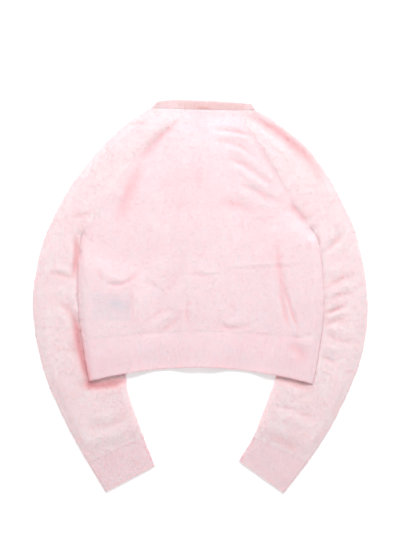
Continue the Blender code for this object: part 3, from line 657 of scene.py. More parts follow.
def mesh_object(name, points, faces, materials, smooth_angle=50.0):
    """An object from arrays of points and of faces that all have as many corners."""
    mesh = bpy.data.meshes.new(name)
    size = faces.shape[1]
    mesh.vertices.add(len(points))
    mesh.vertices.foreach_set("co", np.asarray(points, dtype=np.float32).ravel())
    mesh.loops.add(faces.size)
    mesh.loops.foreach_set("vertex_index", faces.astype(np.int32).ravel())
    mesh.polygons.add(len(faces))
    mesh.polygons.foreach_set("loop_start", np.arange(0, faces.size, size, dtype=np.int32))
    mesh.update(calc_edges=True)
    for finish in materials:
        mesh.materials.append(finish)
    piece = add_object(name, mesh)
    if smooth_angle:
        mesh.shade_smooth()
        mesh.set_sharp_from_angle(angle=math.radians(smooth_angle))
    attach(piece, "root")
    return piece


def paint(piece, name, values):
    """Gives each point a number that a material can read."""
    layer = piece.data.attributes.new(name, "FLOAT", "POINT")
    layer.data.foreach_set("value", values.astype(np.float32))


def wall_faces(rows, columns):
    """Quads of the inside, the outside and the rim between them."""
    index = np.arange(rows * columns).reshape(rows, columns)
    sheet = np.stack([index[:-1, :-1], index[:-1, 1:], index[1:, 1:], index[1:, :-1]], axis=-1)
    sheet = sheet.reshape(-1, 4)
    rim = np.concatenate([index[0, :-1], index[:-1, -1], index[-1, :0:-1], index[:0:-1, 0]])
    after = np.roll(rim, -1)
    far = rows * columns
    walls = np.stack([after, rim, rim + far, after + far], axis=-1)
    return np.concatenate([sheet, sheet[:, ::-1] + far, walls])


def shell(name, inner, outer, finish):
    """A closed wall in place of the solid of the same name."""
    faces = wall_faces(*inner.shape[:2])
    points = np.concatenate([inner.reshape(-1, 3), outer.reshape(-1, 3)])
    a, b, c, d = (points[faces[:, i]] for i in range(4))
    volume = np.einsum("ij,ij->", a, np.cross(b, c)) + np.einsum("ij,ij->", a, np.cross(c, d))
    if volume < 0.0:
        faces = faces[:, ::-1]
    piece = mesh_object("%s_knit" % name, points, faces, [finish])
    # The fold number is painted shade: how deep in a trough each point lies.
    paint(piece, "fold", np.clip(-relief(points[:, 0], points[:, 1]) / CREASE_SHADE_DEPTH, 0.0, 1.0))
    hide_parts(name)
    SHEETS[name] = (outer, inner)
    print(name, "faces", len(faces), "volume cm3 %.1f" % (abs(volume) / 6.0 * 1e6))
    return piece


print("a wall of 3 x 3 points has", len(wall_faces(3, 3)), "faces")

# %% [markdown]
# ## Colour and finish
#
# The yarn is a brushed polyamide and acrylic blend, dyed pale pink. Its fibres
# scatter light in every direction, so it has almost no gloss and a soft white
# sheen at grazing angles. In a trough, light reaches it only after several
# bounces, so it looks deeper and warmer there; that shade is painted into its
# colour. The dye is even: what varies is how thick the nap stands, in clumps of
# 3 to 10 mm, and that shows as faint light and dark blotches. The rib is the same
# yarn knitted tighter with a shorter nap, so it is a tone deeper.
#
# Four small helpers come first. Hex colours are sRGB, and Blender mixes light in
# linear values, so each one is turned over before it is used.


# %% Colours, nodes and inputs
def linear(code):
    """An sRGB hex colour as linear values."""
    parts = [int(code[i:i + 2], 16) / 255.0 for i in (1, 3, 5)]
    parts = [p / 12.92 if p <= 0.04045 else ((p + 0.055) / 1.055) ** 2.4 for p in parts]
    return (*parts, 1.0)


def add_node(tree, kind, inputs=(), **settings):
    """Adds a node. An input gets a value, or a link when it is given a socket."""
    node = tree.nodes.new(kind)
    for key, value in settings.items():
        setattr(node, key, value)
    for key, value in dict(inputs).items():
        if isinstance(value, bpy.types.NodeSocket):
            tree.links.new(value, node.inputs[key])
        else:
            node.inputs[key].default_value = value
    return node


def per_metre(millimetres):
    """A noise scale that repeats about every so many millimetres."""
    return 1000.0 / millimetres


def new_finish(name, inputs):
    """A material, its tree, and its shader with these inputs."""
    finish = bpy.data.materials.new(name)
    finish.use_nodes = True
    shader = finish.node_tree.nodes["Principled BSDF"]
    for key, value in inputs.items():
        shader.inputs[key].default_value = value
    return finish, finish.node_tree, shader


print("a pale pink in linear values:", [round(v, 3) for v in linear("#FBDBDF")[:3]])

# %% [markdown]
# Brushed yarn has two colours, where its nap stands thick and where it is thin,
# and a third, painted shade, that is mixed in deep in a fold. Two noises set the
# first two, one in clumps and one in clouds, and two finer bumps stand for the
# loops under the nap. Light soaks a few millimetres into it, the red of it
# furthest. The back also takes a cooler tint where a label lies behind it, and
# the neckband takes painted shade in the same slot.


# %% Brushed yarn
def brushed_knit(name, full, thin, crease_shade, bump=0.5, label_and_shade_tint=None, soak=0.5):
    """Brushed yarn: full is where the nap stands thick, thin between; the third colour is painted
    shade, mixed in by how far down a trough the point lies.
    """
    finish, tree, shader = new_finish(name, {
        "Roughness": 0.95, "Specular IOR Level": 0.15, "Sheen Weight": 0.25,
        "Sheen Roughness": 0.45, "Sheen Tint": linear("#FFD9DC"), "Subsurface Weight": soak,
        "Subsurface Radius": (1.0, 0.42, 0.38), "Subsurface Scale": 0.005})
    place = add_node(tree, "ShaderNodeTexCoord").outputs["Object"]
    clumps = add_node(tree, "ShaderNodeTexNoise", {"Vector": place, "Scale": per_metre(4.5),
                                                   "Detail": 4.0, "Roughness": 0.62})
    clouds = add_node(tree, "ShaderNodeTexNoise", {"Vector": place, "Scale": per_metre(38.0),
                                                   "Detail": 2.0, "Roughness": 0.5})
    both = add_node(tree, "ShaderNodeMath", {0: clumps.outputs["Fac"], 1: clouds.outputs["Fac"]},
                    operation="ADD")
    thick = add_node(tree, "ShaderNodeMapRange", {"Value": both.outputs[0], "From Min": 0.72,
                                                  "From Max": 1.22})
    colour = add_node(tree, "ShaderNodeMix", {0: thick.outputs[0], 6: linear(thin),
                                              7: linear(full)}, data_type="RGBA")
    # The fold number mixes in the third colour, which is painted shade.
    fold = add_node(tree, "ShaderNodeAttribute", attribute_name="fold")
    crease_shaded = add_node(tree, "ShaderNodeMix", {0: fold.outputs["Fac"], 6: colour.outputs[2],
                                              7: linear(crease_shade)}, data_type="RGBA")
    result = crease_shaded.outputs[2]
    # On the back this tint is the labels showing through; on the neckband it is painted shade.
    if label_and_shade_tint:
        tint_mask = add_node(tree, "ShaderNodeAttribute", attribute_name="label_and_shade")
        tinted = add_node(tree, "ShaderNodeMix", {0: tint_mask.outputs["Fac"], 6: result,
                                                  7: linear(label_and_shade_tint)}, data_type="RGBA")
        result = tinted.outputs[2]
    tree.links.new(result, shader.inputs["Base Color"])
    fuzz = add_node(tree, "ShaderNodeTexNoise", {"Vector": place, "Scale": per_metre(1.6),
                                                 "Detail": 3.0, "Roughness": 0.6})
    coarse = add_node(tree, "ShaderNodeBump", {"Height": clumps.outputs["Fac"], "Strength": bump,
                                               "Distance": 0.0006})
    fine = add_node(tree, "ShaderNodeBump", {"Height": fuzz.outputs["Fac"], "Strength": bump,
                                             "Distance": 0.0004, "Normal": coarse.outputs[0]})
    tree.links.new(fine.outputs[0], shader.inputs["Normal"])
    return finish


def plain(name, colour, roughness, specular=0.5, sheen=0.0, coat=0.0):
    """One even colour, for hairs, thread and moulded buttons."""
    return new_finish(name, {"Base Color": linear(colour), "Roughness": roughness,
                             "Specular IOR Level": specular, "Sheen Weight": sheen,
                             "Coat Weight": coat})[0]


# The third colour of each finish is painted shade for its troughs.
BACK_KNIT = brushed_knit("brushed_yarn_back", "#FBDBDF", "#F9D7DB", "#F9A2A8",
                         label_and_shade_tint="#CDCCD3")
SLEEVE_KNIT = brushed_knit("brushed_yarn_sleeve", "#FCE1E3", "#FBDCDF", "#E69FA3")
FRONT_KNIT = brushed_knit("brushed_yarn_front", "#FBDDE0", "#F9D9DC", "#F8C2C6")
HEM_KNIT = brushed_knit("rib_yarn_hem", "#FFDADF", "#FFD7DC", "#F9A2A8", bump=0.3)
CUFF_KNIT = brushed_knit("rib_yarn_cuff", "#F8D6D9", "#F6D2D6", "#F2BCC2", bump=0.3)
# The neckband's colours are deeper than the other ribs': partly its tighter rib, partly painted
# shade of the hollow it lies in. Its second tint is painted shade.
NECK_KNIT = brushed_knit("rib_yarn_neck", "#E4CDCF", "#E2C8CA", "#DCB4B5", bump=0.3,
                         label_and_shade_tint="#CB9F9A", soak=0.15)
print("materials:", len(bpy.data.materials))

# %% [markdown]
# ## The back
#
# The back is one panel between the raglan seams, the side seams and the hem rib.
# Each of its rows runs from a point on one side to a point on the other, first
# down both raglan seams, then down both side seams, where the rows begin to arch.

# %% The plan of the back
GRID_STEP = 0.0031
RAGLAN_PLACES = even_places(SLEEVE_LEFT, 0.0, UNDERARM, GRID_STEP)
SIDE_PLACES = even_places(side_table(SLEEVE_LEFT, -1), 0.0, len(BODY_ROWS), GRID_STEP)


def edge_of_back(side):
    """One edge of the back from the neck to the rib seam, a point for each row."""
    sections = SIDES[side][0]
    raglan = through(sections, RAGLAN_PLACES)[:, :2]
    return np.concatenate([raglan, through(side_table(sections, side), SIDE_PLACES)[1:]])


def back_plan():
    left = edge_of_back(-1) + np.array([SEAM, 0.0])
    right = edge_of_back(1) - np.array([SEAM, 0.0])
    arches = through([[0.0]] + [[row.arch] for row in BODY_ROWS], SIDE_PLACES[1:])[:, 0]
    arch = np.concatenate([np.zeros(len(RAGLAN_PLACES)), arches])
    width = np.linalg.norm(right - left, axis=1)
    share = edged(width, GRID_STEP) / width[:, None]
    plan = left[:, None] + (right - left)[:, None] * share[..., None]
    plan[..., 1] += arch[:, None] * 4.0 * share * (1.0 - share)
    return plan


print("rows of the back:", len(RAGLAN_PLACES) + len(SIDE_PLACES) - 1)

# %% [markdown]
# Two blank labels inside it show through as cooler patches. The panel carries
# them as a soft mask that the material mixes in. The care label shows most where
# the back presses on its middle.

# %% The back panel
LABEL_BLUR = 0.010       # a label's edge shows through this softly
CARE_SHOWS = 0.30        # share of the tint that comes through,
CARE_PRESSED = 0.45      # and how much more of it at the label's core
CARE_CORE_REACH = (0.016, 0.010)
NECK_SHOWS = 0.4


def label_mask(x, y, box):
    """1 over a label and 0 away from it, with a soft edge."""
    left, bottom, right, top = box
    across = np.minimum(x - left, right - x)
    along = np.minimum(y - bottom, top - y)
    return smooth(0.5 + across / LABEL_BLUR) * smooth(0.5 + along / LABEL_BLUR)


def labels_behind(x, y):
    """How much of a label's tint comes through at each point."""
    away_x = (x - CARE_CORE[0]) / CARE_CORE_REACH[0]
    away_y = (y - CARE_CORE[1]) / CARE_CORE_REACH[1]
    pressed = np.exp(-away_x ** 2 - away_y ** 2)
    care = label_mask(x, y, CARE_LABEL) * (CARE_SHOWS + CARE_PRESSED * pressed)
    mask = care + NECK_SHOWS * label_mask(x, y, NECK_LABEL)
    return mask * (0.85 + 0.30 * slow_noise(x, y, 0.014, 8))


def make_back():
    plan = back_plan()
    x, y = plan[..., 0], plan[..., 1]
    inner = stacked(plan, back_height(x, y))
    near, far, top, bottom = edge_distances(plan)
    side = np.minimum(near, far)
    is_raglan = (np.arange(len(plan)) < len(RAGLAN_PLACES))[:, None]
    keep = np.where(is_raglan, shrink(SEAM_DIP, side), shrink(EDGE_DIP, side))
    keep = keep * shrink(SEAM_DIP, top) * shrink(SEAM_DIP, bottom)
    outer = inner + np.array([0.0, 0.0, KNIT]) * keep[..., None]
    piece = shell("back", inner, outer, BACK_KNIT)
    paint(piece, "label_and_shade", np.tile(labels_behind(x, y).ravel(), 2))
    return piece


back = make_back()

# %% [markdown]
# ## The sleeves and cuffs
#
# A sleeve laid flat is a tube with one fold along its outer side and its seam
# along the inner one. Its section here starts at the seam, runs out along the
# under layer, turns round the fold in a half circle, and comes back on top. The
# cuff is the last stretch of the same tube with ribs. On top the ribs stand up,
# and underneath, where the cloth rests on the table, they are grooves.
#
# First comes the air in the sleeve. Where the body lies on it there is none. Just
# outside the body's edge the sleeve puffs up, and along the edge itself it
# touches the front.

# %% Air in a sleeve
BODY_FADE = 0.005        # a sleeve puffs up again this near the body's edge
BODY_PUFF = 0.0010
PUFF_PLACE, PUFF_REACH = 0.010, 0.007    # from that edge
BODY_TUCK = 0.0008       # and it touches the front just inside that edge
TUCK_REACH = 0.010


def sleeve_air(x, y, row, from_fold, last):
    """Height of the air under a sleeve's top layer. A row is a place along the sleeve."""
    body_edge = side_distance(x, y)
    edge = np.minimum(body_edge, line_distance(x, y, HEM_LINE))
    under_body = inside(x, y, BODY_PLAN) & (row >= DIVE - 0.5)
    fade = EDGE_FADE + (BODY_FADE - EDGE_FADE) * smooth(row - UNDERARM + 0.5)
    near_body = np.where(under_body, 0.0, smooth(edge / fade))
    puff = BODY_PUFF * np.exp(-((body_edge - PUFF_PLACE) / PUFF_REACH) ** 2)
    puff = puff * smooth(row - UNDERARM)
    air = near_body * np.maximum(0.0, LOFT + puff + relief(x, y))
    tuck = BODY_TUCK * smooth(1.0 - edge / TUCK_REACH) * smooth(row - DIVE + 1.5)
    air = np.maximum(air, tuck) * smooth(from_fold / EDGE_FADE)
    air = air * smooth(line_distance(x, y, NECK_LINE) / SHOULDER_FADE)
    return air * smooth((last - row) / 0.6)


print("puff beside the body (mm):", 1000 * BODY_PUFF)

# %% [markdown]
# The tube has two plans. The under layer starts lower at the neck than the top
# one, because a front neck is cut deeper than a back neck. The seam side is kept
# just outside the body's side seam.

# %% A tube laid flat
FOLD_RADIUS = (LAYER + KNIT) / 2.0
FOLD_INSET = WALL - KNIT     # the nap fills this much at the fold
FOLD_TURNS = math.pi * (np.linspace(0.0, 1.0, 9) - 0.5)     # the half circle, from below
RIB_RISE = 0.00016           # a rib's crest stands up this much on top,
RIB_SINK = 0.0002            # from a ground this much lower than plain cloth,
RIB_GROOVE = 0.0004          # and its groove is this deep underneath
RIB_STEPS = 6                # columns to each rib
BODY_GAP = 0.0003
NECK_ROWS = 2.0              # the under layer's slant ends at this section


def rib_profile(turns):
    """Rounded crests with narrower grooves between, from 0 to 1."""
    return (0.5 + 0.5 * np.cos(2.0 * math.pi * turns)) ** 0.7


def sleeve_edges(sections, stations):
    """Inner and outer edge of a sleeve at these places along it."""
    ends = through(sections, stations)
    inner_edge, fold_edge = ends[:, :2].copy(), ends[:, 2:]
    side = -1 if inner_edge[0, 0] < 0.0 else 1
    seam = SIDE_LINES[0 if side < 0 else 1]
    body_x = np.interp(inner_edge[:, 1], seam[::-1, 1], seam[::-1, 0]) + side * BODY_GAP
    beside = (stations > UNDERARM) & (side * (inner_edge[:, 0] - body_x) > 0.0)
    inner_edge[beside, 0] = body_x[beside]
    return inner_edge, fold_edge


def sleeve_tube(sections, stations, neck_station, columns, ribs=0):
    """Inside and outside grids of a tube laid flat."""
    inner_edge, fold_edge = sleeve_edges(sections, stations)
    width = np.linalg.norm(fold_edge - inner_edge, axis=1)
    toward = (fold_edge - inner_edge) / width[:, None]
    flat = width - FOLD_RADIUS - FOLD_INSET
    reach = edged(flat, float(flat.max()) / columns)[:, :-len(ROUND) + 1]
    share = reach / width[:, None]
    row = stations[:, None]
    start = neck_station * (1.0 - share)
    depth = np.where(row < NECK_ROWS, row + start * (1.0 - row / NECK_ROWS), row)
    under = through(sections, depth)
    under_plan = under[..., :2] + (under[..., 2:] - under[..., :2]) * share[..., None]
    top_plan = inner_edge[:, None] + toward[:, None] * reach[..., None]

    on_body_side = smooth(row - UNDERARM)
    keep = shrink(SEAM_DIP + (EDGE_DIP - SEAM_DIP) * on_body_side, reach)
    closing = (LAYER - KNIT - SEAM) * (1.0 - smooth(reach / SIDE_CLOSE)) * on_body_side
    groove, rise, air = 0.0, 0.0, 0.0
    if ribs:
        crest = rib_profile(share * ribs)
        groove, rise = RIB_GROOVE * (1.0 - crest), RIB_RISE * crest - RIB_SINK
    else:
        air = sleeve_air(top_plan[..., 0], top_plan[..., 1], row, flat[:, None] - reach,
                         len(sections) - 2)
    high = LAYER - closing + air
    low = [stacked(under_plan, KNIT), stacked(under_plan, KNIT * (1.0 - keep) + groove)]
    top = [stacked(top_plan, high), stacked(top_plan, high + (KNIT + rise) * keep)]

    centre = inner_edge + toward * flat[:, None]
    grids = []
    for below, above, radius in zip(low, top, (FOLD_RADIUS - KNIT, FOLD_RADIUS)):
        out = (radius * np.cos(FOLD_TURNS[1:-1]))[None, :, None]
        height = (FOLD_RADIUS + radius * np.sin(FOLD_TURNS[1:-1]))[None, :]
        bend = stacked(centre[:, None] + toward[:, None] * out, height)
        grids.append(np.concatenate([below, bend, above[:, ::-1]], axis=1))
    return grids


print("radius of the fold (mm):", round(1000 * FOLD_RADIUS, 2))

# %% [markdown]
# Both sleeves are cut from the same function, each with its own table. Two extra
# rows near each end keep the wall square there. A cuff ends in an edge that is
# drawn in from both sides.

# %% Sleeves and cuffs
SLEEVE_STEP = 0.0037
SLEEVE_COLUMNS = 32
CUFF_RIBS = 20
CUFF_ROWS = np.concatenate([[0.0, 0.01, 0.03], np.linspace(0.06, 0.96, 13), [0.985, 1.0]])
CUFF_DIP = 0.7


def make_sleeve(name, side):
    sections, _, neck_station = SIDES[side]
    last = len(sections) - 2
    stations = even_places([s[:2] for s in sections], 0.0, last, SLEEVE_STEP)
    extra = np.array([0.012, 0.03])
    stations = np.unique(np.concatenate([stations, extra, last - extra]))
    inner, outer = sleeve_tube(sections, stations, neck_station, SLEEVE_COLUMNS)
    piece = shell(name, inner, outer, SLEEVE_KNIT)
    return piece


def make_cuff(name, side):
    sections = SIDES[side][0]
    stations = len(sections) - 2 + CUFF_ROWS
    inner, outer = sleeve_tube(sections, stations, 0.0, CUFF_RIBS * RIB_STEPS, CUFF_RIBS)
    keep = shrink(CUFF_DIP, edge_distances(outer[..., :2])[3])[..., None]
    middle = 0.5 * (inner + outer)
    outer = middle + (outer - middle) * keep
    inner = middle + (inner - middle) * keep
    inner[..., 2] = np.maximum(inner[..., 2], 0.0)
    piece = shell(name, inner, outer, CUFF_KNIT)
    return piece


sleeve_left = make_sleeve("sleeve_left", -1)
sleeve_right = make_sleeve("sleeve_right", 1)
cuff_left = make_cuff("cuff_left", -1)
cuff_right = make_cuff("cuff_right", 1)

# %% [markdown]
# ## The hem rib
#
# The hem is a deep band of rib, knitted on, that holds the body in. On the back
# its 76 crests run down from the seam, pulled almost flat. The two halves on the
# front are the same rib seen from below, pressed flat on the table.

# %% Hem ribs
HEM_RIBS = 76
HEM_RISE = 0.00016
HEM_GROOVE = 0.0005      # the same rib's depth underneath
HEM_FRONT_STEPS = 4      # columns to each rib where it doesn't show
RIB_START = 0.006        # the ribs rise out of the seam over this length
FREE_DIP = 0.75          # how far the hem's free edge is drawn in
HEM_ROWS = np.concatenate([[0.0, 0.02], np.linspace(0.06, 1.9, 17), [1.97, 1.99, 2.0]])


def hem_plan(left, right, columns):
    """Rows across a hem, closer together at its free edge."""
    left, right = through(left, HEM_ROWS), through(right, HEM_ROWS)
    width = np.linalg.norm(right - left, axis=1)
    share = edged(width, float(width.max()) / columns) / width[:, None]
    plan = left[:, None] + (right - left)[:, None] * share[..., None]
    bend = through([[row.arch] for row in RIB_ROWS], HEM_ROWS)
    return plan, share, bend


def make_hem_back():
    plan, share, bend = hem_plan(edge_points(RIB_ROWS, -1), edge_points(RIB_ROWS, 1),
                                 HEM_RIBS * RIB_STEPS)
    plan[..., 1] += bend * 4.0 * share * (1.0 - share)
    near, far, top, bottom = edge_distances(plan)
    x, y = plan[..., 0], plan[..., 1]
    strength = 0.8 + 0.3 * slow_noise(x, y, 0.03, 12)
    crest = rib_profile(share * HEM_RIBS) * strength * smooth(top / RIB_START)
    inner = stacked(plan, back_height(x, y))
    keep = shrink(EDGE_DIP, np.minimum(near, far))
    keep = keep * shrink(FREE_DIP, bottom) * shrink(SEAM_DIP, top)
    wall = (KNIT - SEAM + HEM_RISE * crest) * keep
    outer = inner + np.array([0.0, 0.0, 1.0]) * wall[..., None]
    piece = shell("hem_rib_back", inner, outer, HEM_KNIT)
    return piece


def make_hem_front(name, side):
    ribs = HEM_RIBS // 2
    middle = np.array([arched(row, np.array(0.5)) for row in RIB_ROWS])
    near = np.stack([np.full(3, side * (BAND_HALF + SEAM)), middle[:, 1]], axis=-1)
    plan, share, bend = hem_plan(near, edge_points(RIB_ROWS, side), ribs * HEM_FRONT_STEPS)
    plan[..., 1] += bend * share * (1.0 - share)
    _, far, top, bottom = edge_distances(plan)
    crest = rib_profile(share * ribs) * smooth(top / RIB_START)
    low = front_height(plan[..., 0], plan[..., 1])
    keep = shrink(EDGE_DIP, far) * shrink(FREE_DIP, bottom)
    inner = stacked(plan, low + KNIT + 0.0003)
    outer = stacked(plan, low + KNIT * (1.0 - keep) + HEM_GROOVE * (1.0 - crest))
    piece = shell(name, inner, outer, HEM_KNIT)
    return piece


hem_back = make_hem_back()
hem_left = make_hem_front("hem_rib_front_left", -1)
hem_right = make_hem_front("hem_rib_front_right", 1)

# %% [markdown]
# ## The fronts
#
# Each front runs from the raglan and side seams in to its button band, under a
# low round neck. It lies on the table with the weight of the back on it, so its
# creases are few, and they rise off the table as shallow troughs seen from below.

# %% The front's creases and neckline
HIDDEN_CREASES = in_metres((
    Crease(8.0, 0.9, ((-200, 120), (-160, 150), (-110, 200))),
    Crease(7.0, 0.8, ((-80, 190), (-60, 120), (-50, 70))),
    Crease(6.0, 0.7, ((-110, -10), (-80, -30), (-50, -40))),
    Crease(8.5, 0.9, ((190, 125), (140, 160), (90, 190))),
    Crease(6.5, 0.8, ((120, 120), (100, 60), (90, 0))),
    Crease(6.0, 0.7, ((40, 20), (70, -10), (110, -30))),
))


def neck_seam(side):
    """The front neckline, from the corner of the neck down to the band."""
    sections, low, start = SIDES[side]
    shares = np.linspace(1.0, 0.0, NECK_STEPS + 1)
    ends = through(sections, start * (1.0 - shares))
    seam = ends[:, :2] + (ends[:, 2:] - ends[:, :2]) * shares[:, None]
    return np.concatenate([seam, np.array(low)])


def shifted(line, width):
    """The same line, moved to its left by this width."""
    ahead = np.diff(line, axis=0)
    run = np.concatenate([ahead[:1], line[2:] - line[:-2], ahead[-1:]])
    run = run / np.linalg.norm(run, axis=1)[:, None]
    return line + np.stack([-run[:, 1], run[:, 0]], axis=-1) * width


print("creases of the fronts:", len(HIDDEN_CREASES))

# %% [markdown]
# A front's rows run from its middle edge, which is the neckline and then the
# band, out to its far edge, which is the raglan and then the side seam.

# %% Front panels
RAGLAN_ROWS = 40         # rows down the raglan seam, and as many down the side
NECKLINE_ROWS = 13
FRONT_STEP = 0.0055
RAGLAN_DIP = 0.35
CREASE_START = 0.02      # the creases begin this far in from the seams


def front_plan(side):
    sections, _, start = SIDES[side]
    raglan = through(sections, np.linspace(start + 0.06, UNDERARM, RAGLAN_ROWS))[:, :2]
    down = through(side_table(sections, side), np.linspace(0.0, len(BODY_ROWS), RAGLAN_ROWS))[1:]
    far = np.concatenate([raglan, down]) - np.array([side * SEAM, 0.0])
    curve = shifted(neck_seam(side), SEAM * side)[NECK_STEPS:]
    curve[0] = curve[0] + 0.12 * (curve[1] - curve[0])
    middle_x = side * (BAND_HALF + SEAM)
    curve[-1, 0] = middle_x
    neck = through(curve, np.linspace(0.0, len(curve) - 1, NECKLINE_ROWS))
    bottom = arched(BODY_ROWS[-1], np.array(0.5))[1]
    straight = np.linspace(neck[-1, 1], bottom, len(far) - len(neck) + 1)[1:]
    near = np.concatenate([neck, np.stack([np.full(len(straight), middle_x), straight], axis=-1)])
    width = np.linalg.norm(far - near, axis=1)
    share = edged(width, FRONT_STEP) / width[:, None]
    plan = near[:, None] + (far - near)[:, None] * share[..., None]
    drop = smooth((np.arange(len(near)) - RAGLAN_ROWS) / (len(near) - RAGLAN_ROWS - 1))[:, None]
    plan[..., 1] += BODY_ROWS[-1].arch * drop * share * (1.0 - share)
    return plan


def make_front(name, side):
    plan = front_plan(side)
    x, y = plan[..., 0], plan[..., 1]
    edge = edge_distances(plan)[1]
    is_side = (np.arange(len(plan)) > RAGLAN_ROWS)[:, None]
    keep = np.where(is_side, shrink(EDGE_DIP, edge), shrink(RAGLAN_DIP, edge))
    rise = sum(crease_height(x, y, crease) for crease in HIDDEN_CREASES)
    low = front_height(x, y) + rise * smooth(edge / CREASE_START)
    inner, outer = stacked(plan, low + KNIT), stacked(plan, low + KNIT * (1.0 - keep))
    piece = shell(name, inner, outer, FRONT_KNIT)
    return piece


front_left = make_front("front_left", -1)
front_right = make_front("front_right", 1)

# %% [markdown]
# ## Button bands
#
# The two button bands are strips of rib that overlap at the centre front, the
# buttonhole band nearer the table. A buttonhole is a slit between two ribs,
# pressed into the outer band under its button.

# %% Button bands
BAND_RIBS = 5
BAND_RIB_STEPS = 7
BAND_ROWS = 90
BAND_DIP = 0.5
HOLE_HALF = 0.0064       # half a buttonhole's length,
HOLE_REACH = 0.0011      # half its width,
HOLE_DEPTH = 0.0007      # and how deep it is pressed in


def button_y(index):
    return BUTTON_TOP_Y - BUTTON_PITCH * index


def make_band(name, height, has_holes):
    top = FRONT_NECK_LEFT[-1][1] + NECK_WIDTH
    bottom = arched(RIB_ROWS[-1], np.array(0.5))[1]
    ys = np.concatenate([[top, top - 0.0004], np.linspace(top - KNIT, bottom + KNIT, BAND_ROWS),
                         [bottom + 0.0004, bottom]])
    across = edged([2 * BAND_HALF] * len(ys), 2 * BAND_HALF / (BAND_RIBS * BAND_RIB_STEPS))
    plan = np.stack([across - BAND_HALF, np.broadcast_to(ys[:, None], across.shape)], axis=-1)
    near, far, start, end = edge_distances(plan)
    keep = shrink(BAND_DIP, np.minimum(near, far)) * shrink(BAND_DIP, np.minimum(start, end))
    crest = rib_profile(across / (2 * BAND_HALF) * BAND_RIBS)
    low = height + RIB_GROOVE * (1.0 - crest) + KNIT * (1.0 - keep)
    if has_holes:
        along = np.maximum(np.abs(plan[..., 0]) - HOLE_HALF, 0.0)
        away = np.min([np.hypot(along, plan[..., 1] - button_y(k)) for k in range(BUTTON_COUNT)],
                      axis=0)
        low = low + HOLE_DEPTH * np.exp(-(away / HOLE_REACH) ** 2)
    inner = stacked(plan, height + KNIT + 0.0003)
    outer = stacked(plan, np.minimum(low, height + KNIT))
    piece = shell(name, inner, outer, CUFF_KNIT)
    return piece


band_left = make_band("button_band_left", INNER_BAND_Z, False)
band_right = make_band("buttonhole_band_right", OUTER_BAND_Z, True)

# %% [markdown]
# ## Buttons
#
# The buttons are moulded polyester in a shell pink, 11.6 mm across, with a
# turned rim, a dished face and four holes. A profile turned round an axis gives
# the first three.

# %% The button's blank
BUTTON_SHELL = plain("polyester_button", "#EBCFCB", 0.22, specular=0.5, coat=0.3)
THREAD = plain("sewing_thread", "#D9AEB2", 0.8, specular=0.2)
TURN_STEPS = 48
BUTTON_PROFILE = (       # shares of the radius and of the height, from the face's middle
    (0.0, 0.30), (0.50, 0.28), (0.62, 0.18), (0.72, 0.05), (0.82, 0.0), (0.93, 0.10),
    (1.0, 0.38), (0.98, 0.70), (0.88, 0.95), (0.70, 1.0), (0.0, 1.0),
)


def full_turn(steps):
    return np.linspace(0.0, 2.0 * math.pi, steps, endpoint=False)


def turned_button():
    """The profile turned round the middle."""
    profile = [(out * BUTTON_RADIUS, up * BUTTON_HEIGHT) for out, up in BUTTON_PROFILE]
    rings = [(radius * math.cos(a), radius * math.sin(a), z) for radius, z in profile[1:-1]
             for a in full_turn(TURN_STEPS)]
    points = [(0.0, 0.0, profile[0][1])] + rings + [(0.0, 0.0, profile[-1][1])]
    count = len(profile) - 2
    faces = [(0, 1 + (k + 1) % TURN_STEPS, 1 + k) for k in range(TURN_STEPS)]
    for ring in range(count - 1):
        first, second = 1 + ring * TURN_STEPS, 1 + (ring + 1) * TURN_STEPS
        faces += [(first + k, first + (k + 1) % TURN_STEPS, second + (k + 1) % TURN_STEPS,
                   second + k) for k in range(TURN_STEPS)]
    base, tip = 1 + (count - 1) * TURN_STEPS, len(points) - 1
    faces += [(base + k, base + (k + 1) % TURN_STEPS, tip) for k in range(TURN_STEPS)]
    mesh = bpy.data.meshes.new("button_blank")
    mesh.from_pydata(points, [], faces)
    return mesh


print("button (mm):", 2000 * BUTTON_RADIUS, "across,", 1000 * BUTTON_HEIGHT, "thick")

# %% [markdown]
# The holes are cut with a Boolean, as they are drilled on a real blank. The
# cutter is four rods in one mesh.

# %% Four holes
HOLE_RADIUS = 0.00075
HOLE_SPREAD = 0.0014     # from the button's middle
HOLE_STEPS = 16
DRILL_PAST = 0.001


def hole_cutter():
    points, faces = [], []
    for corner in range(4):
        turn = math.pi * (0.25 + 0.5 * corner)
        cx, cy = HOLE_SPREAD * math.cos(turn), HOLE_SPREAD * math.sin(turn)
        first, n = len(points), HOLE_STEPS
        for z in (-DRILL_PAST, BUTTON_HEIGHT + DRILL_PAST):
            points += [(cx + HOLE_RADIUS * math.cos(a), cy + HOLE_RADIUS * math.sin(a), z)
                       for a in full_turn(n)]
        faces.append([first + k for k in range(n - 1, -1, -1)])
        faces.append([first + n + k for k in range(n)])
        faces += [(first + k, first + (k + 1) % n, first + n + (k + 1) % n, first + n + k)
                  for k in range(n)]
    mesh = bpy.data.meshes.new("button_holes")
    mesh.from_pydata(points, [], faces)
    return mesh


def drilled_button():
    blank = add_object("button_blank", turned_button())
    cutter = add_object("button_holes", hole_cutter())
    cut = blank.modifiers.new("holes", "BOOLEAN")
    cut.operation = "DIFFERENCE"
    cut.object = cutter
    drilled = blank.evaluated_get(bpy.context.evaluated_depsgraph_get())
    made = bpy.data.meshes.new_from_object(drilled)
    for piece in (blank, cutter):
        bpy.data.objects.remove(piece, do_unlink=True)
    made.materials.clear()
    made.materials.append(BUTTON_SHELL)
    made.shade_smooth()
    made.set_sharp_from_angle(angle=math.radians(35.0))
    return made


BUTTON = drilled_button()
print("button faces:", len(BUTTON.polygons))

# %% [markdown]
# The sewing thread is four short loops between the holes. Each loop is a small
# tube along six points, up through one hole, across the bridge and down again.

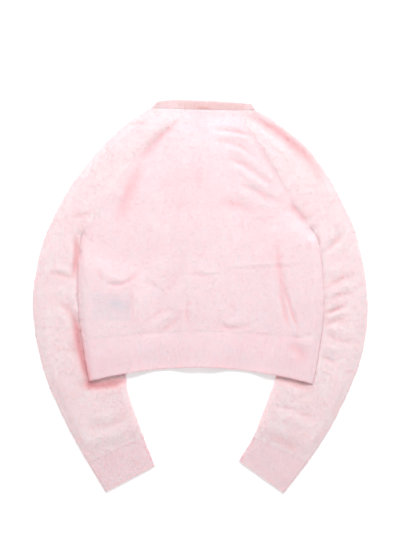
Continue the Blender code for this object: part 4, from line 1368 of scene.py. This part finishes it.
# %% Thread and buttons
THREAD_RADIUS = 0.00022
THREAD_STEPS = 6
LOOP = ((-1.0, 0.0012), (-1.0, 0.00048), (-0.5, 0.00032), (0.5, 0.00032), (1.0, 0.00048),
        (1.0, 0.0012))   # share of the way to each hole, and height


def thread_loops(centre):
    """Four loops of thread round the bridge between the holes, as one mesh."""
    points, faces = [], []
    reach = HOLE_SPREAD * math.sqrt(0.5)
    for turn in range(4):
        way = np.array([math.cos(turn * math.pi / 2), math.sin(turn * math.pi / 2)])
        side = np.array([-way[1], way[0]])
        first, n = len(points), THREAD_STEPS
        for place, z in LOOP:
            for angle in full_turn(n):
                spot = way * (reach + THREAD_RADIUS * math.cos(angle)) + side * (place * reach)
                points.append((centre[0] + spot[0], centre[1] + spot[1],
                               centre[2] + z + THREAD_RADIUS * math.sin(angle)))
        for ring in range(len(LOOP) - 1):
            a, b = first + ring * n, first + (ring + 1) * n
            faces += [(a + k, a + (k + 1) % n, b + (k + 1) % n, b + k) for k in range(n)]
    return np.array(points), np.array(faces)


for index in range(BUTTON_COUNT):
    name = "button_%d" % (index + 1)
    centre = (0.0, button_y(index), BUTTON_FLOOR)
    piece = add_object(name + "_polyester", BUTTON)
    piece.location = centre
    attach(piece, "root")
    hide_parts(name)
    thread = mesh_object(name + "_thread", *thread_loops(centre), [THREAD], 60.0)
print("buttons:", BUTTON_COUNT)

# %% [markdown]
# ## The neckband
#
# The neckband is one more strip. It runs up the front neckline, folds over at
# each corner of the neck, and shows along the top of the back as a narrow deeper
# stripe. Its grid is built in five stretches that share their end rows' layout:
# the right front, the right corner, the back, the left corner and the left front.

# %% The neckband's stretches
NECK_RIBS = 34
NECK_FRONT_RIBS = 18
NECK_FRONT_ROWS = 38
NECK_FRONT_START = 1.1   # a row nearer the corner would stick out past the fold
NECK_RIB_RISE = 0.0002
NECK_RIB_START = 0.004
NECK_DIP = 0.5
NECK_DROOP = 0.0013
NECK_SHARES = np.concatenate([[0.0, 0.06], np.linspace(0.15, 0.88, 7), [0.96, 1.0]])


def neck_strip(seam, free, low, high, facing, turns):
    """Rows across the band: seam and free are its edges, low and high their heights."""
    width = np.linalg.norm(free - seam, axis=1)
    plan = seam[:, None] + (free - seam)[:, None] * NECK_SHARES[None, :, None]
    z = low[:, None] + (high - low)[:, None] * NECK_SHARES[None, :]
    sewn = NECK_SHARES[None, :] * width[:, None]
    loose = (1.0 - NECK_SHARES[None, :]) * width[:, None]
    keep = shrink(SEAM_DIP, sewn) * shrink(NECK_DIP, loose)
    rise = NECK_RIB_RISE * rib_profile(turns)[:, None] * smooth(sewn / NECK_RIB_START)
    return stacked(plan, z), stacked(plan, z + facing * (KNIT + rise) * keep)


def neck_front(side, height_at_band):
    """The stretch along one front neckline, from the band up to the corner."""
    seam = shifted(neck_seam(side), -SEAM * side)
    free = shifted(seam, -NECK_WIDTH * side)
    end = side * (BAND_HALF + SEAM)
    seam[-1], free[-1] = (end, seam[-1][1]), (end, seam[-1][1] + NECK_WIDTH)
    places = np.linspace(NECK_FRONT_START, len(seam) - 1, NECK_FRONT_ROWS)[::-1]
    seam, free = through(seam, places), through(free, places)
    from_band = np.abs(seam[:, 0]) - BAND_HALF - 0.001
    rise = height_at_band * smooth(1.0 - from_band / INNER_BAND_RAMP)
    turns = np.linspace(0.0, NECK_FRONT_RIBS, len(seam)) + 0.5
    inner, outer = neck_strip(seam, free, rise + KNIT, rise + KNIT, -1.0, turns)
    outer[..., 2] = np.maximum(outer[..., 2], rise[:, None])
    return inner, outer


def neck_corner(station, outward):
    """Round the fold at the neck's corner, from the front up to the back."""
    seam, free = np.array(station[:2]), np.array(station[2:])
    along = (free - seam) / np.linalg.norm(free - seam)
    normal = np.array([outward * abs(along[1]), -outward * along[0] * (1 if along[1] > 0 else -1)])
    plan = seam + (free - seam) * NECK_SHARES[:, None]
    grids = []
    for radius in (FOLD_RADIUS - KNIT, FOLD_RADIUS):
        out = (radius * np.cos(FOLD_TURNS) - FOLD_RADIUS)[:, None, None]
        height = (FOLD_RADIUS + radius * np.sin(FOLD_TURNS))[:, None]
        grids.append(stacked(plan + normal * out, height))
    return grids


print("columns across the neckband:", len(NECK_SHARES))

# %% [markdown]
# The neckband lies low in the hollow between the back's lip and the front, so
# painted shade darkens it along the linking, the stitches that join it to the
# back, and a painted shadow is darkest at the end of the neck label. Both are
# painted on as a tint, like the labels on the back.

# %% The neckband
BACK_NECK_Y = 0.334      # all that lies beyond this is the stretch on the back
# Painted shade along the neckband's seam, and painted shadow at the label's end.
SEAM_GROOVE_SHADE = 0.35
SEAM_GROOVE_SHADE_ENDS = ((-0.050, 0.030), (0.090, 0.018))    # x, and how softly it starts there
LABEL_SHADOW = 0.70
LABEL_SHADOW_X, LABEL_SHADOW_REACH = 0.006, 0.020


def neck_shade(x, y):
    """How much painted shade each point takes, from the seam (share 0) to the free edge."""
    share = np.linspace(0.0, 1.0, x.shape[1])[None, :]
    (left, left_soft), (right, right_soft) = SEAM_GROOVE_SHADE_ENDS
    groove_shade = smooth((x - left) / left_soft) * smooth((right - x) / right_soft)
    groove_shade = SEAM_GROOVE_SHADE * groove_shade * (1.0 - smooth((share - 0.55) / 0.35))
    label_shadow = smooth(1.0 - np.abs(x - LABEL_SHADOW_X) / LABEL_SHADOW_REACH)
    label_shadow = LABEL_SHADOW * label_shadow * (1.0 - smooth((share - 0.1) / 0.4))
    return (groove_shade + label_shadow) * (y > BACK_NECK_Y)


def make_neckband():
    places = np.linspace(0.0, 1.0, NECK_RIBS * RIB_STEPS + 1)[RIB_STEPS:-RIB_STEPS]
    table = through(BACK_NECK, places * (len(BACK_NECK) - 1))
    level = np.full(len(places), LAYER)
    droop = NECK_DROOP * np.sin(math.pi * places)
    middle = neck_strip(table[:, :2], table[:, 2:], level, level - droop, 1.0, places * NECK_RIBS)
    right, left = neck_front(1, OUTER_BAND_Z), neck_front(-1, INNER_BAND_Z)
    first, last = neck_corner(BACK_NECK[0], 1.0), neck_corner(BACK_NECK[-1], -1.0)
    parts = [right, first, middle, [g[::-1] for g in last], [g[::-1] for g in left]]
    inner, outer = (np.concatenate([part[k] for part in parts]) for k in (0, 1))
    piece = shell("neckband", inner, outer, NECK_KNIT)
    # On the neckband this attribute carries painted shade and painted shadow.
    paint(piece, "label_and_shade", np.tile(neck_shade(outer[..., 0], outer[..., 1]).ravel(), 2))
    SHEETS["neck_back"] = (middle[1], middle[0])
    return piece


neckband = make_neckband()

# %% [markdown]
# ## The labels
#
# Two blank satin tabs are sewn inside the back. Satin is a smooth, slightly
# glossy weave, so the cloth follows the back's inside in one thin sheet.


# %% Labels
def satin():
    finish, tree, shader = new_finish("polyester_satin", {
        "Base Color": linear("#E4E4EC"), "Roughness": 0.38, "Sheen Weight": 0.1})
    place = add_node(tree, "ShaderNodeTexCoord").outputs["Object"]
    weave = add_node(tree, "ShaderNodeTexWave", {"Vector": place, "Scale": per_metre(1.2),
                                                 "Distortion": 0.4, "Detail": 1.0},
                     bands_direction="X")
    ridge = add_node(tree, "ShaderNodeBump", {"Height": weave.outputs["Fac"], "Strength": 0.25,
                                              "Distance": 0.0001})
    tree.links.new(ridge.outputs[0], shader.inputs["Normal"])
    return finish


SATIN = satin()


def make_label(name, box):
    left, bottom, right, top = box
    plan = np.stack(np.meshgrid(np.linspace(left, right, 22), np.linspace(top, bottom, 26)),
                    axis=-1)
    x, y = plan[..., 0], plan[..., 1]
    z = back_height(x, y) - LABEL_AIR + 0.00012 * slow_noise(x, y, 0.008, 21)
    piece = shell(name, stacked(plan, z), stacked(plan, z - LABEL_WALL), SATIN)
    return piece


neck_label = make_label("neck_label", NECK_LABEL)
care_label = make_label("care_label", CARE_LABEL)

# %% [markdown]
# ## The nap
#
# Brushing lifts thousands of fibre ends out of the yarn. Seen close, they lie
# over each other in small swirls. Seen from a step away, they blur the stitches
# and every edge. A hair system would look right here but export nothing, so each
# hair is a real ribbon of three triangles, rooted on the wall, leaning over and
# bent down by its weight. They are one joined mesh to a panel. Neighbours lean
# the same way, set by a slow noise, and each then strays a little.
#
# Each finish has five tones, from light to deep. Which one a hair takes is partly
# chance and partly the relief under it: lighter on a ridge, as painted light, and
# deeper in a trough, as painted shade. The neck's tones are deeper all through,
# partly for its tighter rib and partly as painted shade of the hollow it lies in.

# %% Finishes of the hairs
HAIR_TONES = {
    "pink": ("#FBE3E6", "#FADBDF", "#F8D2D7", "#F6BFC6", "#F3ABB1"),
    "sleeve": ("#FCE7E9", "#FBDFE1", "#F8D5D8", "#F5C0C4", "#E59EA1"),
    "rib": ("#FDE0E4", "#FCDADF", "#FAD2D8", "#F5BFC6", "#EFA8AE"),
    "neck": ("#E7D0D2", "#E4C9CB", "#E0BEC0", "#DAAFB0", "#D29E9E"),
}
TONE_LIMITS = (-0.3, 0.4, 1.2, 1.9)
HAIRS = {shades: [plain("nylon_hair_%s_%d" % (shades, k), tone, 0.9, specular=0.12, sheen=0.2)
                  for k, tone in enumerate(tones)] for shades, tones in HAIR_TONES.items()}
print("finishes of the hairs:", sum(len(tones) for tones in HAIRS.values()))

# %% [markdown]
# A hair is picked in three steps: a cell of the panel's grid, a place in it, and
# a direction. Cells are drawn by their area, so the hairs stand evenly, times a
# weight where fibres work out more. A folded or rubbed edge has most of them, and
# there are none where the body covers a sleeve or a sleeve rests on the table.

# %% Where the nap stands
ABOVE_TABLE = 0.0006     # hairs stand on what is higher than this
COVER_EDGE = 0.004       # the body's cover begins this far in from its edge,
COVER_TOP = 0.10         # and below this level of y
FOLD_EXTRA = 3.0
EDGE_EXTRA = 3.0
EDGE_REACH = 0.0025


def thick_at_fold(x, y, z):
    """Top and fold of a sleeve, but not what the body covers; thicker round the fold."""
    covered = inside(x, y, BODY_PLAN) & (side_distance(x, y) > COVER_EDGE) & (y < COVER_TOP)
    covered &= line_distance(x, y, HEM_LINE) > COVER_EDGE
    stands = ~covered & (z > ABOVE_TABLE)
    return np.where(z < FOLD_RADIUS + KNIT, FOLD_EXTRA, 1.0) * stands


def thick_at_edge(x, y, z):
    """Fibres work out most where an edge rubs."""
    edge = np.minimum(side_distance(x, y), line_distance(x, y, HEM_LINE))
    return 1.0 + EDGE_EXTRA * np.exp(-(edge / EDGE_REACH) ** 2)


print("more hairs at an edge:", thick_at_edge(*HEM_LINE[:1].T, 0.0)[0])

# %% [markdown]
# The numbers below are a hair's own: its width at the root and the middle, how
# far it leans, how much it strays from its neighbours, and how many hairs in a
# hundred are the long ones that brushing pulls right out.

# %% Growing the nap
HAIR_ROOT = 0.00020      # a clump of fibres, since one alone is too fine to show
HAIR_MIDDLE = 0.00015
HAIR_DEPTH = 0.0002      # it is rooted this far into the wall
LEAN = (14.0, 52.0)      # degrees off the wall
STRAY = 0.55             # radians
LONG_SHARE, LONG_FACTOR = 0.03, 1.6
NAP_SHADING_DEPTH = 0.0024       # at this relief a hair is about a tone lighter or deeper, as painted light or shade


def unit(vectors):
    return vectors / np.maximum(np.linalg.norm(vectors, axis=-1, keepdims=True), 1e-9)


def strand_tones(root, fold, rng):
    """Each hair's tone, counted from the lightest: partly chance, and partly painted light on
    ridges and painted shade in troughs.
    """
    tone = 0.5 * slow_noise(root[:, 0], root[:, 1], 0.0036, 33) + rng.normal(0.0, 0.5, len(root))
    return np.digitize(-(tone + 1.1 * fold), TONE_LIMITS)


def strand_points(root, normal, length, rng):
    """Five points for each hair: two at the root, two at the middle and the tip."""
    count = len(root)
    swirl = 2.4 * slow_noise(root[:, 0], root[:, 1], 0.014, 31)
    swirl += 1.6 * slow_noise(root[:, 0], root[:, 1], 0.005, 32)
    angle = -math.pi / 2 + swirl + rng.normal(0.0, STRAY, count)
    lean = np.radians(rng.uniform(*LEAN, count))[:, None]
    heading = np.stack([np.cos(angle), np.sin(angle), np.zeros(count)], axis=-1)
    heading = unit(heading - normal * np.sum(heading * normal, axis=-1, keepdims=True))
    rise = normal * np.sin(lean) + heading * np.cos(lean)
    long_hair = rng.uniform(*length, (count, 1))
    long_hair *= np.where(rng.random((count, 1)) < LONG_SHARE, LONG_FACTOR, 1.0)
    ahead = unit(rise - 0.55 * normal * np.sin(lean) + rng.normal(0.0, 0.25, (count, 3)))
    side = unit(np.cross(rise, normal) + rng.normal(0.0, 0.35, (count, 3)))
    middle = root + rise * long_hair * 0.5
    base = root - normal * HAIR_DEPTH
    base_half, middle_half = side * HAIR_ROOT / 2, side * HAIR_MIDDLE / 2
    strands = np.stack([base - base_half, base + base_half, middle - middle_half,
                        middle + middle_half, middle + ahead * long_hair * 0.5], axis=1)
    strands[..., 2] = np.maximum(strands[..., 2], 0.0001)
    return strands.reshape(-1, 3)


def nap(name, panel, count, shades, keep=None, length=(0.0028, 0.0052)):
    """Hairs all over a panel's outside, more of them where keep is larger."""
    outer, inner = SHEETS[panel]
    rng = np.random.default_rng(sum(map(ord, name)))
    corners = [outer[:-1, :-1], outer[:-1, 1:], outer[1:, :-1], outer[1:, 1:]]
    face = np.cross(corners[1] - corners[0], corners[2] - corners[0])
    away = (outer - inner)[:-1, :-1]
    face = face * np.sign(np.sum(face * away, axis=-1, keepdims=True) + 1e-15)
    x, y, z = (corners[0][..., k] for k in range(3))
    weight = np.linalg.norm(face, axis=-1)
    if keep is not None:
        weight = weight * keep(x, y, z)
    weight = weight.ravel() / weight.sum()
    cell = rng.choice(weight.size, size=count, p=weight)
    s, t = rng.random((2, count, 1))
    a, b, c, d = (corner.reshape(-1, 3)[cell] for corner in corners)
    root = (a * (1 - s) + b * s) * (1 - t) + (c * (1 - s) + d * s) * t
    points = strand_points(root, unit(face.reshape(-1, 3)[cell]), length, rng)
    faces = np.array([(0, 1, 3), (0, 3, 2), (2, 3, 4)])
    faces = (faces[None] + 5 * np.arange(count)[:, None, None]).reshape(-1, 3)
    piece = mesh_object(name, points, faces, HAIRS[shades], smooth_angle=None)
    # Tones follow the relief: painted light on ridges, painted shade in troughs.
    tones = strand_tones(root, relief(x, y).ravel()[cell] / NAP_SHADING_DEPTH, rng)
    piece.data.polygons.foreach_set("material_index", np.repeat(tones, 3).astype(np.int32))
    print(name, "hairs", count, "triangles", len(faces))
    return piece


nap_back = nap("back_nap", "back", 62000, "pink", thick_at_edge)
nap_sleeve_left = nap("sleeve_left_nap", "sleeve_left", 42000, "sleeve", thick_at_fold)
nap_sleeve_right = nap("sleeve_right_nap", "sleeve_right", 42000, "sleeve", thick_at_fold)
nap_hem = nap("hem_rib_back_nap", "hem_rib_back", 18000, "rib", thick_at_edge, (0.0018, 0.0036))
nap_cuff_left = nap("cuff_left_nap", "cuff_left", 5000, "rib", thick_at_fold, (0.0018, 0.0034))
nap_cuff_right = nap("cuff_right_nap", "cuff_right", 5000, "rib", thick_at_fold, (0.0018, 0.0034))
nap_neck = nap("neckband_nap", "neck_back", 2600, "neck", length=(0.0016, 0.0032))

# %% [markdown]
# ## The cut of each piece
#
# A cut would hold a piece, its width and length as knitted before it was laid
# out, its area, what it rests on and its nap. A tube's width counts all the way
# round, and an area is less than width times length wherever a raglan seam
# slopes across the panel. Only the record and the floor's name are set up here.

# %% The record of a cut
FLOOR = "paper_floor"
Cut = namedtuple("Cut", "piece width length area rests_on nap")

# %% [markdown]
# ## Floor, light and camera
#
# The garment lies on white paper under a large soft light beyond its neck, with
# so much fill from all round that shadows stay pale. The paper is lit a little
# past white.

# %% Floor and light
SOFTBOX_PLACE = (0.22, 2.30, 1.80)
SOFTBOX_SIZE = (1.4, 0.9)
SOFTBOX_WATTS = 87.0
FILL = 0.58
PAPER_HALF = 4.0
PAPER_Z = -0.0001        # just under the garment
PAPER_GLOW = 0.25        # a lit table under the paper, which washes its shadows out
WHITE = (1.0, 1.0, 1.0, 1.0)


def make_floor():
    corners = [(x * PAPER_HALF, y * PAPER_HALF, PAPER_Z)
               for x, y in ((-1, -1), (1, -1), (1, 1), (-1, 1))]
    mesh = bpy.data.meshes.new(FLOOR)
    mesh.from_pydata(corners, [], [(0, 1, 2, 3)])
    paper = plain("white_paper", "#F6F5F6", 0.9, specular=0.1)
    glow = paper.node_tree.nodes["Principled BSDF"]
    glow.inputs["Emission Color"].default_value = WHITE
    glow.inputs["Emission Strength"].default_value = PAPER_GLOW
    mesh.materials.append(paper)
    floor = add_object(FLOOR, mesh)


def make_light():
    softbox = bpy.data.lights.new("softbox", "AREA")
    softbox.shape = "RECTANGLE"
    softbox.size, softbox.size_y = SOFTBOX_SIZE
    softbox.energy = SOFTBOX_WATTS
    lamp = add_object("softbox", softbox)
    lamp.location = SOFTBOX_PLACE
    lamp.rotation_euler = Vector(SOFTBOX_PLACE).to_track_quat("Z", "Y").to_euler()
    world = bpy.data.worlds.new("studio")
    world.use_nodes = True
    sky = world.node_tree.nodes["Background"]
    sky.inputs["Color"].default_value = WHITE
    sky.inputs["Strength"].default_value = FILL
    bpy.context.scene.world = world


make_floor()
make_light()
print("softbox:", SOFTBOX_WATTS, "W, fill:", FILL)

# %% [markdown]
# A long lens straight above keeps the laying free of perspective. Its picture
# takes in the same stretch of floor as the photograph does. The view transform is
# Standard, so that white paper stays white.

# %% Camera
VIEW_CENTRE_Y = 0.0540
VIEW_HEIGHT = 0.9594     # the picture's long side covers this much of the floor
CAMERA_HEIGHT = 3.0
SENSOR = 36.0

lens = bpy.data.cameras.new("camera")
lens.sensor_width = SENSOR
lens.lens = SENSOR * CAMERA_HEIGHT / VIEW_HEIGHT
lens.clip_end = 20.0
camera = add_object("camera", lens)
camera.location = (0.0, VIEW_CENTRE_Y, CAMERA_HEIGHT)
bpy.context.scene.camera = camera
bpy.context.scene.view_settings.view_transform = "Standard"
print("lens (mm):", round(lens.lens, 1))
